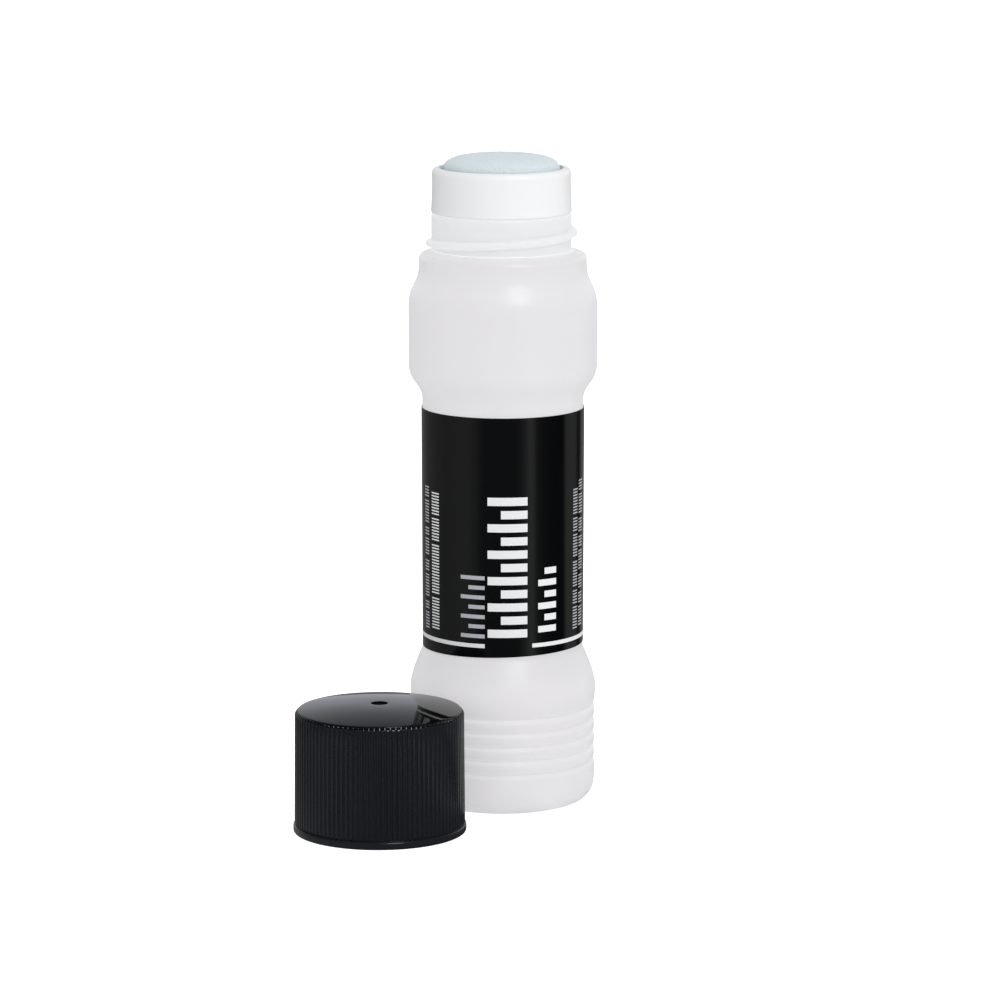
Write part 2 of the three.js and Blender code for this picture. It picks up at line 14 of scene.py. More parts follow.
import bpy
import numpy as np
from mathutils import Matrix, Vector


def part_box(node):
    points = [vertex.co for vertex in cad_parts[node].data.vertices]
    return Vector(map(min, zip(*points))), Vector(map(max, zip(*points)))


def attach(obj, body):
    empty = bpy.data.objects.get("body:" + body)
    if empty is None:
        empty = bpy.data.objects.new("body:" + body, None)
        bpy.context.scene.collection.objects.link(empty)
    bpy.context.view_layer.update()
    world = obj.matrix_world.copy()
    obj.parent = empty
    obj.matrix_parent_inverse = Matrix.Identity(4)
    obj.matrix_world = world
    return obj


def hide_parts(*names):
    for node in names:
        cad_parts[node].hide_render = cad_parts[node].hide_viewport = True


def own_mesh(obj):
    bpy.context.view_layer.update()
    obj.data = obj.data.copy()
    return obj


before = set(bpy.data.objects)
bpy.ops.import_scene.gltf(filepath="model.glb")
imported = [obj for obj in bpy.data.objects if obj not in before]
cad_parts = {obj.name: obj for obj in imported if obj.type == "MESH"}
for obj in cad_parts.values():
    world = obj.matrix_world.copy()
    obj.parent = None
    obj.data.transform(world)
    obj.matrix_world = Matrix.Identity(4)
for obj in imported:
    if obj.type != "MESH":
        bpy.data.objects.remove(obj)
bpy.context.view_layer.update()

MM = 0.001
SHARP_DEG = 40.0
ON_WALL = 0.01
BAR_STEP_DEG = 2.0
WHITE = (1.0, 1.0, 1.0, 1.0)
BLACK = (0.0, 0.0, 0.0, 1.0)
log = logging.getLogger("paint_marker")

Pair = tuple[float, float]
Colour = tuple[float, float, float, float]
Socket = bpy.types.NodeSocket
Lift = Callable[[np.ndarray, np.ndarray, np.ndarray], np.ndarray]


class Body(Enum):
    """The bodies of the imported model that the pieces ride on."""

    BOTTLE = "bottle"
    BALL_1 = "ball_1"
    BALL_2 = "ball_2"
    HEAD = "head"
    TIP = "tip"
    LINER = "liner"
    CAP = "cap"


class Slot(Enum):
    """The record's material slots."""

    MILKY_PLASTIC = "milky_plastic"
    BLACK_FILM = "black_film"
    STEEL = "steel"
    WHITE_PLASTIC = "white_plastic"
    TIP_FOAM = "tip_foam"
    TIP_FABRIC = "tip_fabric"
    BLACK_PLASTIC = "black_plastic"
    LINER_FOAM = "liner_foam"


# Small sums


def smooth_step(low: float, high: float, value: np.ndarray) -> np.ndarray:
    """Rises from 0 at low to 1 at high as 3t^2 - 2t^3, flat outside them.

    Args:
        low: The value where the rise starts.
        high: The value where it ends.
        value: The values to look up.

    Returns:
        The share risen, in the shape of value.
    """
    share = np.clip((value - low) / (high - low), 0.0, 1.0)
    return share * share * (3.0 - 2.0 * share)


def linear(code: str) -> Colour:
    """Turns a six-figure screen colour into the linear colour that shaders take, by the sRGB curve.

    Args:
        code: Red, green and blue as hexadecimal pairs.

    Returns:
        Linear red, green and blue, with full alpha.
    """
    screen = np.array([int(code[i : i + 2], 16) for i in (0, 2, 4)]) / 255.0
    value = np.where(screen <= 0.04045, screen / 12.92, ((screen + 0.055) / 1.055) ** 2.4)
    return (*value.tolist(), 1.0)


def bezier(points: Sequence[np.ndarray | Pair], share: np.ndarray) -> np.ndarray:
    """Follows a Bezier curve: point k of n is weighted by the k-th term of ((1-t) + t)^n.

    Args:
        points: The start, the controls and the end.
        share: The shares t of the way, as a column.

    Returns:
        The curve's points.
    """
    n = len(points) - 1
    weights = [math.comb(n, k) * (1 - share) ** (n - k) * share**k for k in range(n + 1)]
    return sum(weight * np.asarray(point) for weight, point in zip(weights, points, strict=True))


def polar(reach: np.ndarray, angle: np.ndarray, height: np.ndarray, axis: Pair) -> np.ndarray:
    """Turns distances, angles and heights about an upright axis into points.

    Args:
        reach: Distances from the axis, in millimetres.
        angle: Angles from +X towards +Y, in radians.
        height: Heights in millimetres.
        axis: Where the axis stands, in metres.

    Returns:
        Rows of X, Y and Z, in metres.
    """
    grid = np.broadcast_arrays(reach * np.cos(angle), reach * np.sin(angle), height)
    return np.stack(grid, axis=-1).reshape(-1, 3) * MM + np.array([*axis, 0.0])


def box_mm(node: str) -> tuple[np.ndarray, np.ndarray]:
    """Returns the lowest and the highest corner of a CAD node's box, in millimetres."""
    low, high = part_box(node)
    return np.array(low) / MM, np.array(high) / MM


def axis_of(node: str) -> Pair:
    """Returns X and Y of the middle of a round CAD node's box, in metres."""
    low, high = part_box(node)
    return (low[0] + high[0]) / 2, (low[1] + high[1]) / 2


# Shapes


class Profile:
    """An outline of (radius, height) points in millimetres, walked with the solid on its left.

    Corners carry a reach. A corner with one is replaced by a parabola that leaves the outline that far
    before the corner and joins it again that far after. Every step returns the outline itself.
    """

    ROUND_STEPS = 7
    SAME_POINT = 1e-5

    def __init__(self, radius: float, height: float) -> None:
        """Starts the outline at a point."""
        self._corners = [np.array([[radius, height]])]
        self._reaches = [np.zeros(1)]

    def to(self, radius: float, height: float, reach: float = 0.0, rows: int = 1) -> "Profile":
        """Goes straight to a point.

        Args:
            radius: The point's distance from the axis.
            height: The point's height.
            reach: How far its corner is rounded back. Only a point with a single row has one.
            rows: How many equal steps the stretch is cut into.

        Returns:
            The outline.
        """
        start = self._corners[-1][-1]
        share = np.linspace(0.0, 1.0, rows + 1)[1:, None]
        self._corners.append(start + share * (np.array([radius, height]) - start))
        self._reaches.append(np.full(rows, reach))
        return self

    def curve(self, *points: Pair, rows: int = 12) -> "Profile":
        """Follows a Bezier curve from the last point.

        Args:
            points: The curve's controls and its end.
            rows: How many steps it is cut into.

        Returns:
            The outline.
        """
        share = np.linspace(0.0, 1.0, rows + 1)[1:, None]
        self._corners.append(bezier([self._corners[-1][-1], *points], share))
        self._reaches.append(np.zeros(rows))
        return self

    def ease(self, radius: float, height: float, rows: int = 20) -> "Profile":
        """Goes to a point along an S that leaves and arrives upright: a cubic with both controls at mid height.

        Args:
            radius: The end's distance from the axis.
            height: The end's height.
            rows: How many steps it is cut into.

        Returns:
            The outline.
        """
        start = self._corners[-1][-1]
        middle = (start[1] + height) / 2
        return self.curve((start[0], middle), (radius, middle), (radius, height), rows=rows)

    def points(self) -> np.ndarray:
        """Rounds the corners and drops points that fall together.

        Returns:
            The outline as rows of radius and height.
        """
        corner = np.concatenate(self._corners)
        reach = np.concatenate(self._reaches)[:, None]
        ways = [np.roll(corner, step, axis=0) - corner for step in (1, -1)]
        lengths = [np.maximum(np.linalg.norm(way, axis=1, keepdims=True), self.SAME_POINT) for way in ways]
        leave, join = (corner + reach * way / length for way, length in zip(ways, lengths, strict=True))
        share = np.linspace(0.0, 1.0, self.ROUND_STEPS)[None, :, None]
        flat = bezier([leave[:, None], corner[:, None], join[:, None]], share).reshape(-1, 2)
        gap = np.linalg.norm(np.diff(flat, axis=0), axis=1)
        return flat[np.concatenate([[True], gap > self.SAME_POINT])]


@dataclass
class Surface:
    """A closed surface: points in metres, and faces as rows of point numbers."""

    points: np.ndarray
    quads: np.ndarray
    triangles: np.ndarray = field(default_factory=lambda: np.empty((0, 3), int))

    @staticmethod
    def lathe(
        outline: np.ndarray, axis: Pair, columns: int, lift: Lift | None = None, closed: bool = False
    ) -> "Surface":
        """Carries an outline round an upright axis.

        Point (i, j) stands at angle a_j = 2 pi j / columns, at height z_i and at the distance
        r_i + lift(a_j, z_i, r_i) from the axis. An open outline starts and ends on the axis, where its
        ends are single points under fans of triangles. A closed one joins its last row to its first.

        Args:
            outline: Rows of radius and height in millimetres.
            axis: Where the axis stands, in metres.
            columns: How many points go round.
            lift: What is added to the radius, from angle, height and radius.
            closed: True for an outline that joins itself away from the axis.

        Returns:
            The closed surface.
        """
        rings = outline if closed else outline[1:-1]
        angle = (2 * np.pi * np.arange(columns) / columns)[None, :]
        radius, height = rings[:, :1], rings[:, 1:]
        reach = radius + (lift(angle, height, radius) if lift else 0.0)
        points = polar(reach, angle, height, axis)
        index = np.arange(len(points)).reshape(len(rings), columns)
        low = index if closed else index[:-1]
        high = np.roll(index, -1, axis=0) if closed else index[1:]
        quads = np.stack([low, np.roll(low, -1, 1), np.roll(high, -1, 1), high], axis=-1).reshape(-1, 4)
        if closed:
            return Surface(points, quads)
        foot, top = np.full(columns, len(points)), np.full(columns, len(points) + 1)
        first, last = index[0], index[-1]
        under = np.stack([foot, np.roll(first, -1), first], axis=-1)
        over = np.stack([last, np.roll(last, -1), top], axis=-1)
        poles = polar(np.zeros(2), np.zeros(2), outline[[0, -1], 1], axis)
        return Surface(np.concatenate([points, poles]), quads, np.concatenate([under, over]))

    @staticmethod
    def curved_bar(axis: Pair, radius: float, thickness: float, turn: Pair, rise: Pair) -> "Surface":
        """Bends a flat bar round an upright axis.

        Its section is the rectangle between two radii and two heights. It is carried from the first
        angle to the second, measured from the front to the right, in steps of about BAR_STEP_DEG, and
        its two ends are closed.

        Args:
            axis: Where the axis stands, in metres.
            radius: The bar's inner radius.
            thickness: How far it stands out from that.
            turn: Its first and last angle.
            rise: Its lowest and highest edge.

        Returns:
            The closed surface.
        """
        steps = max(3, math.ceil((turn[1] - turn[0]) / BAR_STEP_DEG) + 1)
        angle = np.radians(np.linspace(turn[0], turn[1], steps) - 90.0)[:, None]
        outer = radius + thickness
        points = polar(np.array([[radius, outer, outer, radius]]), angle, np.repeat(rise, 2)[None, :], axis)
        index = np.arange(len(points)).reshape(steps, 4)
        low, high = index[:-1], index[1:]
        sides = np.stack([low, high, np.roll(high, -1, 1), np.roll(low, -1, 1)], axis=-1).reshape(-1, 4)
        return Surface(points, np.concatenate([sides, [index[0], index[-1][::-1]]]))

    @staticmethod
    def joined(parts: Sequence["Surface"]) -> "Surface":
        """Puts several surfaces into one, each with its own points.

        Args:
            parts: The surfaces.

        Returns:
            One surface with all their faces.
        """
        starts = np.cumsum([0] + [len(part.points) for part in parts[:-1]])
        quads = np.concatenate([part.quads + start for part, start in zip(parts, starts, strict=True)])
        triangles = np.concatenate([part.triangles + start for part, start in zip(parts, starts, strict=True)])
        return Surface(np.concatenate([part.points for part in parts]), quads, triangles)

    def mesh(self, name: str, sharp_deg: float = SHARP_DEG) -> bpy.types.Mesh:
        """Puts the points and faces into a Blender mesh.

        Args:
            name: The mesh's name.
            sharp_deg: Edges that turn by more than this stay sharp.

        Returns:
            The mesh, smooth between its sharp edges.
        """
        corners = np.concatenate([self.quads.ravel(), self.triangles.ravel()]).astype(np.int32)
        sizes = np.repeat([4, 3], [len(self.quads), len(self.triangles)])
        starts = np.concatenate([[0], np.cumsum(sizes)[:-1]]).astype(np.int32)
        mesh = bpy.data.meshes.new(name)
        mesh.vertices.add(len(self.points))
        mesh.vertices.foreach_set("co", self.points.astype(np.float32).ravel())
        mesh.loops.add(len(corners))
        mesh.loops.foreach_set("vertex_index", corners)
        mesh.polygons.add(len(sizes))
        mesh.polygons.foreach_set("loop_start", starts)
        mesh.update(calc_edges=True)
        mesh.shade_smooth()
        mesh.set_sharp_from_angle(angle=math.radians(sharp_deg))
        return mesh


@dataclass(frozen=True)
class ScrewRidge:
    """A right-handed screw ridge that climbs a round wall and runs out to nothing at both ends."""

    width: float
    turns: float
    first_height: float
    start_deg: float
    pitch: float = 4.6
    depth: float = 1.15
    crest: float = 0.7
    run_out_deg: float = 27.0

    def height(self, angle: np.ndarray, level: np.ndarray) -> np.ndarray:
        """Measures how far the ridge stands off its wall.

        At t radians past the start the ridge's middle is at first_height + pitch t / 2 pi. Across the
        ridge the height falls from its flat crest to nothing as a smooth step, and along it a smooth
        step brings it up from the wall and back.

        Args:
            angle: Angles about the axis, in radians.
            level: Heights in millimetres.

        Returns:
            Millimetres off the wall, for every angle and level.
        """
        whole = self.turns * 2 * np.pi
        run_out = math.radians(self.run_out_deg)
        first = np.mod(angle - math.radians(self.start_deg), 2 * np.pi)
        total = np.zeros(np.broadcast_shapes(angle.shape, level.shape))
        for lap in range(math.ceil(self.turns)):
            along = first + 2 * np.pi * lap
            middle = self.first_height + self.pitch * along / (2 * np.pi)
            across = 1.0 - smooth_step(self.crest / 2, self.width / 2, np.abs(level - middle))
            ends = smooth_step(0.0, run_out, along) * smooth_step(0.0, run_out, whole - along)
            total = np.maximum(total, self.depth * across * ends)
        return total


# Finishes


class Wiring:
    """Short calls for the nodes of one tree. A value is a number, a colour or another node's output."""

    def __init__(self, tree: bpy.types.NodeTree) -> None:
        """Keeps the tree to build in."""
        self.tree = tree

    def fill(self, made: bpy.types.Node, inputs: dict[str | int, object]) -> bpy.types.Node:
        """Sets or links a node's inputs.

        Args:
            made: The node.
            inputs: Values by the names or numbers of the node's sockets.

        Returns:
            The node.
        """
        for key, value in inputs.items():
            if isinstance(value, Socket):
                self.tree.links.new(value, made.inputs[key])
            else:
                made.inputs[key].default_value = value
        return made

    def node(self, kind: str, inputs: dict[str | int, object] | None = None, **settings: object) -> bpy.types.Node:
        """Adds a node.

        Args:
            kind: Blender's name for the node type.
            inputs: Values by the names or numbers of its sockets.
            settings: The node's own properties.

        Returns:
            The node.
        """
        made = self.tree.nodes.new(kind)
        for key, value in settings.items():
            setattr(made, key, value)
        return self.fill(made, inputs or {})

    def maths(self, operation: str, first: object, second: object) -> Socket:
        """Adds a Math node and returns its result."""
        return self.node("ShaderNodeMath", {0: first, 1: second}, operation=operation).outputs[0]

    def vector_maths(self, operation: str, inputs: dict[str | int, object]) -> Socket:
        """Adds a Vector Math node and returns its vector."""
        return self.node("ShaderNodeVectorMath", inputs, operation=operation).outputs[0]

    def between(self, low: object, high: object, share: object) -> Socket:
        """Mixes two colours by a share and returns the result."""
        return self.node("ShaderNodeMix", {0: share, 6: low, 7: high}, data_type="RGBA").outputs[2]

    def ramp(
        self, value: object, low: object, high: object, ends: tuple[object, object] = (0.0, 1.0), kind: str = "LINEAR"
    ) -> Socket:
        """Carries a value between low and high to a value between the two ends, flat outside them."""
        inputs = {"Value": value, "From Min": low, "From Max": high, "To Min": ends[0], "To Max": ends[1]}
        return self.node("ShaderNodeMapRange", inputs, interpolation_type=kind).outputs[0]

    def noise(self, place: Socket, scale: object, detail: float, roughness: float = 0.5, kind: str = "Fac") -> Socket:
        """Adds a noise and returns one of its outputs."""
        inputs = {"Vector": place, "Scale": scale, "Detail": detail, "Roughness": roughness}
        return self.node("ShaderNodeTexNoise", inputs).outputs[kind]

    def bump(self, height: Socket, depth_mm: float) -> Socket:
        """Turns a pattern of heights into normals."""
        inputs = {"Height": height, "Distance": depth_mm * MM, "Strength": 1.0}
        return self.node("ShaderNodeBump", inputs).outputs["Normal"]

    def light_path(self, ray: str) -> Socket:
        """Returns 1 for one kind of ray and 0 for the others."""
        return self.node("ShaderNodeLightPath").outputs[ray]

    def place(self) -> Socket:
        """Returns the place on the piece, in metres."""
        return self.node("ShaderNodeTexCoord").outputs["Object"]

    def parts(self, vector: Socket) -> dict[str, Socket]:
        """Splits a vector into X, Y and Z."""
        return dict(zip("XYZ", self.node("ShaderNodeSeparateXYZ", {0: vector}).outputs, strict=True))

    def height(self) -> Socket:
        """Returns the height on the piece, in metres."""
        return self.parts(self.place())["Z"]

    def effect(self, shared: "SharedEffect", inputs: dict[str | int, object]) -> dict[str, Socket]:
        """Places a shared effect on the piece's own coordinates and returns its outputs by name."""
        group = self.node("ShaderNodeGroup", node_tree=shared.group())
        return {out.name: out for out in self.fill(group, {"Place": self.place(), **inputs}).outputs}


class SharedEffect(Enum):
    """Node groups that several finishes use, each built once: name, number inputs and outputs."""

    SKIN = ("moulded_skin", {"Per Metre": 2500.0, "Roughness": 0.4, "Variation": 0.05}, ("Roughness", "Grain", "Tone"))
    PORES = ("open_pores", {"Per Metre": 1500.0, "Openness": 0.4}, ("Pore", "Fibre", "Depth"))

    def group(self) -> bpy.types.NodeTree:
        """Finds the group, or builds it.

        Returns:
            The node group.
        """
        name, numbers, outputs = self.value
        tree = bpy.data.node_groups.get(name)
        if tree is None:
            tree = bpy.data.node_groups.new(name, "ShaderNodeTree")
            add = tree.interface.new_socket
            add("Place", in_out="INPUT", socket_type="NodeSocketVector")
            for key, value in numbers.items():
                add(key, in_out="INPUT", socket_type="NodeSocketFloat").default_value = value
            for key in outputs:
                add(key, in_out="OUTPUT", socket_type="NodeSocketFloat")
            wiring = Wiring(tree)
            given = {out.name: out for out in wiring.node("NodeGroupInput").outputs}
            build = {SharedEffect.SKIN: self._skin, SharedEffect.PORES: self._pores}[self]
            wiring.node("NodeGroupOutput", build(wiring, given))
        return tree

    @staticmethod
    def _skin(wiring: Wiring, given: dict[str, Socket]) -> dict[str, Socket]:
        """Wires the skin of moulded plastic.

        Fine grain comes from a noise of the grain's size, slow drift from a noise forty times as wide.
        Roughness drifts up and down by the variation, and tone is the drift from 0 to 1.

        Args:
            wiring: The wiring of the group's tree.
            given: The group's inputs.

        Returns:
            What goes to the group's outputs.
        """
        grain = wiring.noise(given["Place"], given["Per Metre"], 3.0)
        drift = wiring.noise(given["Place"], wiring.maths("DIVIDE", given["Per Metre"], 40.0), 4.0)
        swing = wiring.maths("SUBTRACT", wiring.maths("ADD", drift, grain), 1.0)
        rough = wiring.maths("ADD", given["Roughness"], wiring.maths("MULTIPLY", swing, given["Variation"]))
        return {"Roughness": rough, "Grain": grain, "Tone": drift}

    @staticmethod
    def _pores(wiring: Wiring, given: dict[str, Socket]) -> dict[str, Socket]:
        """Wires the open surface of felt and foam.

        Pores are the dark middles of a cell pattern whose cells are bent by a noise. Fibres are a noise
        six times finer. Depth is the fibres less the pores.

        Args:
            wiring: The wiring of the group's tree.
            given: The group's inputs.

        Returns:
            What goes to the group's outputs.
        """
        bend = wiring.noise(given["Place"], given["Per Metre"], 2.0, kind="Color")
        nudge = wiring.vector_maths("SCALE", {0: bend, "Scale": 0.6 * MM})
        place = wiring.vector_maths("ADD", {0: given["Place"], 1: nudge})
        cells = wiring.node("ShaderNodeTexVoronoi", {"Vector": place, "Scale": given["Per Metre"]}, feature="F1")
        pore = wiring.ramp(cells.outputs["Distance"], 0.0, given["Openness"], (1.0, 0.0))
        fibre = wiring.noise(place, wiring.maths("MULTIPLY", given["Per Metre"], 6.0), 3.0, 0.65)
        return {"Pore": pore, "Fibre": fibre, "Depth": wiring.maths("SUBTRACT", fibre, pore)}


@dataclass(frozen=True)
class Finish:
    """A procedural material round a Principled shader. It drifts between a colour and a shade of it."""

    name: str
    slot: Slot | None
    colour: str
    shade: str

    def material(self) -> bpy.types.Material:
        """Finds the material, or builds it.

        Returns:
            The material.
        """
        made = bpy.data.materials.get(self.name)
        if made is None:
            made = bpy.data.materials.new(self.name)
            made.use_nodes = True
            made.node_tree.nodes.clear()
            made.cycles.emission_sampling = "NONE"
            wiring = Wiring(made.node_tree)
            wiring.node("ShaderNodeOutputMaterial", {"Surface": self.surface(wiring)})
        return made

    def drift(self, wiring: Wiring, share: object) -> Socket:
        """Mixes the shade and the colour by a share."""
        return wiring.between(linear(self.shade), linear(self.colour), share)

    def inputs(self, wiring: Wiring) -> dict[str, object]:
        """Wires what goes to the Principled shader.

        Args:
            wiring: The wiring of the material's tree.

        Returns:
            Values by the names of the shader's sockets.
        """
        raise NotImplementedError

    def surface(self, wiring: Wiring) -> Socket:
        """Wires the whole shader."""
        return wiring.node("ShaderNodeBsdfPrincipled", self.inputs(wiring)).outputs[0]


@dataclass(frozen=True)
class MouldedPlastic(Finish):
    """Plastic, film or ink with a fine skin: its colour drifts a little and its gloss is uneven.

    Its glow is painted light: an emission that stands in for the light that comes through a milky wall
    from behind. Glossy surfaces see the mirrored share of its colour and glow, a painted dimming of its
    reflection. From a given height up it can have another colour and roughness, and where the step between
    them lightens or darkens a part for the light's sake it is painted light. Its shadow is painted shade: the
    colour is darkened by the share of light that is lost where a film shuts the light out of the wall. It
    comes in by a smooth step from the first height to the second and ends at the third.
    """

    roughness: float
    variation: float = 0.06
    specular: float = 0.5
    grain_mm: float = 0.4
    bump_mm: float = 0.004
    scatter: float = 0.0
    scatter_mm: float = 1.0
    scatter_tint: tuple[float, float, float] = (1.0, 0.95, 0.9)
    glow: float = 0.0
    mirrored: float = 1.0
    upper_colour: str | None = None
    upper_roughness: float = 0.0
    upper_from_mm: float = 0.0
    shadow: float = 0.0
    shadow_mm: tuple[float, float, float] = (0.0, 0.0, 0.0)

    def inputs(self, wiring: Wiring) -> dict[str, object]:
        """Wires the skin, the upper part, the shadow and the mirrored share.

        Args:
            wiring: The wiring of the material's tree.

        Returns:
            Values by the names of the Principled shader's sockets.
        """
        grain = 1.0 / (self.grain_mm * MM)
        given = {"Per Metre": grain, "Roughness": self.roughness, "Variation": self.variation}
        skin = wiring.effect(SharedEffect.SKIN, given)
        colour = self.drift(wiring, skin["Tone"])
        roughness = skin["Roughness"]
        # Second colour from a height up; the step between the colours is painted light: a lighter neck on the bottle,
        # lighter ribbed sides under the cap's black top
        if self.upper_colour:
            above = wiring.maths("GREATER_THAN", wiring.height(), self.upper_from_mm * MM)
            colour = wiring.between(colour, linear(self.upper_colour), above)
            change = wiring.maths("MULTIPLY", above, self.upper_roughness - self.roughness)
            roughness = wiring.maths("ADD", roughness, change)
        # Painted shade below the label: the colour is darkened by up to the shadow's share
        if self.shadow:
            low, high, end = (value * MM for value in self.shadow_mm)
            height = wiring.height()
            loss = wiring.ramp(height, low, high, (0.0, self.shadow), "SMOOTHSTEP")
            loss = wiring.maths("MULTIPLY", loss, wiring.maths("LESS_THAN", height, end))
            colour = wiring.between(colour, BLACK, loss)
        # Painted dimming of the reflection: glossy rays see a darker colour, and with it a weaker glow
        if self.mirrored < 1.0:
            loss = wiring.maths("MULTIPLY", wiring.light_path("Is Glossy Ray"), 1.0 - self.mirrored)
            colour = wiring.between(colour, BLACK, loss)
        return {
            "Base Color": colour,
            "Roughness": roughness,
            "Normal": wiring.bump(skin["Grain"], self.bump_mm),
            "Specular IOR Level": self.specular,
            "Subsurface Weight": self.scatter,
            "Subsurface Radius": self.scatter_tint,
            "Subsurface Scale": self.scatter_mm * MM,
            # Painted glow: an emission that stands in for the light that comes through the wall
            "Emission Color": colour,
            "Emission Strength": self.glow,
        }


@dataclass(frozen=True)
class PorousPad(Finish):
    """Felt or foam: pores, fibres and a soft sheen. It is darkest in its pores."""

    pore_mm: float
    openness: float
    depth_mm: float
    sheen: float = 0.2
    sheen_roughness: float = 0.5
    roughness: float = 0.95
    specular: float = 0.2
    pore_shade: float = 0.7
    full_colour: float = 0.6

    def inputs(self, wiring: Wiring) -> dict[str, object]:
        """Wires the pores and fibres.

        Args:
            wiring: The wiring of the material's tree.

        Returns:
            Values by the names of the Principled shader's sockets.
        """
        size = 1.0 / (self.pore_mm * MM)
        pores = wiring.effect(SharedEffect.PORES, {"Per Metre": size, "Openness": self.openness})
        # Painted shade in the pores: the colour is darkened where the pores are, and the fibres give random tone
        fibre_tone_and_pore_shade = wiring.maths("SUBTRACT", pores["Fibre"], wiring.maths("MULTIPLY", pores["Pore"], self.pore_shade))
        return {
            "Base Color": self.drift(wiring, wiring.ramp(fibre_tone_and_pore_shade, 0.0, self.full_colour)),
            "Normal": wiring.bump(pores["Depth"], self.depth_mm),
            "Roughness": self.roughness,
            "Specular IOR Level": self.specular,
            "Sheen Weight": self.sheen,
            "Sheen Roughness": self.sheen_roughness,
        }


@dataclass(frozen=True)
class PolishedSteel(Finish):
    """Bright steel with faint rubbing marks."""

    roughness: float = 0.12
    variation: float = 0.12
    mark_mm: float = 0.25

    def inputs(self, wiring: Wiring) -> dict[str, object]:
        """Wires the rubbing marks.

        Args:
            wiring: The wiring of the material's tree.

        Returns:
            Values by the names of the Principled shader's sockets.
        """
        marks = 1.0 / (self.mark_mm * MM)
        given = {"Per Metre": marks, "Roughness": self.roughness, "Variation": self.variation}
        skin = wiring.effect(SharedEffect.SKIN, given)
        return {"Base Color": self.drift(wiring, skin["Tone"]), "Roughness": skin["Roughness"], "Metallic": 1.0}


@dataclass(frozen=True)
class TableTop(Finish):
    """The table: pale and matt with a faint mottle, white to the camera, and graded where gloss mirrors it.

    The mirrored level is a painted reflection: it stands in for the strips of light and dark that the label
    and the cap mirror. It follows the direction from the bottle, from the camera's side to the right,
    through the stops of the ring, each an angle and a level where 1 is white.
    """

    bottle_axis: Pair = (0.0, 0.0)
    mottle_per_metre: float = 6.0
    roughness: float = 0.9
    specular: float = 0.1
    glow: float = 0.8
    ring: tuple[Pair, ...] = (
        (-180.0, 0.2), (180.0, 0.2), (-134.0, 0.155), (-112.0, 0.18), (-90.0, 0.185), (-72.0, 0.23),
        (-52.0, 0.28), (-44.0, 0.23), (-38.0, 0.185), (-33.0, 0.11), (-26.0, 0.07), (0.0, 0.06),
        (18.0, 0.065), (24.0, 0.1), (30.0, 0.2), (38.0, 0.45), (43.0, 0.4), (48.0, 0.13),
        (58.0, 0.045), (72.0, 0.02), (93.0, 0.01), (101.0, 0.3), (122.0, 0.18), (131.0, 0.03),
        (137.0, 0.03), (147.0, 0.23),
    )  # fmt: skip

    def _mirrored(self, wiring: Wiring) -> Socket:
        """Finds the level that gloss sees.

        Args:
            wiring: The wiring of the material's tree.

        Returns:
            The level as a grey.
        """
        place = wiring.parts(wiring.place())
        right = wiring.maths("SUBTRACT", place["X"], self.bottle_axis[0])
        front = wiring.maths("SUBTRACT", self.bottle_axis[1], place["Y"])
        turn = wiring.maths("ARCTAN2", right, front)
        share = wiring.maths("ADD", wiring.maths("DIVIDE", turn, 2.0 * math.pi), 0.5)
        # Painted reflection: the stops give the strips of light and dark that gloss mirrors
        ramp = wiring.node("ShaderNodeValToRGB", {"Fac": share})
        stops = ramp.color_ramp.elements
        for number, (degrees, level) in enumerate(self.ring):
            position = degrees / 360.0 + 0.5
            stop = stops[number] if number < 2 else stops.new(position)
            stop.position = position
            stop.color = (level, level, level, 1.0)
        return ramp.outputs["Color"]

    def inputs(self, wiring: Wiring) -> dict[str, object]:
        """Wires the mottle and the light that the camera sees."""
        return {
            "Base Color": self.drift(wiring, wiring.noise(wiring.place(), self.mottle_per_metre, 3.0)),
            "Roughness": self.roughness,
            "Specular IOR Level": self.specular,
            "Emission Color": WHITE,
            "Emission Strength": wiring.maths("MULTIPLY", wiring.light_path("Is Camera Ray"), self.glow),
        }

    def surface(self, wiring: Wiring) -> Socket:
        """Wires the whole shader: glossy rays meet the mirrored level, all others the plain table."""
        seen = wiring.node("ShaderNodeEmission", {"Color": self._mirrored(wiring), "Strength": 1.0}).outputs[0]
        mix = {0: wiring.light_path("Is Glossy Ray"), 1: super().surface(wiring), 2: seen}
        return wiring.node("ShaderNodeMixShader", mix).outputs[0]


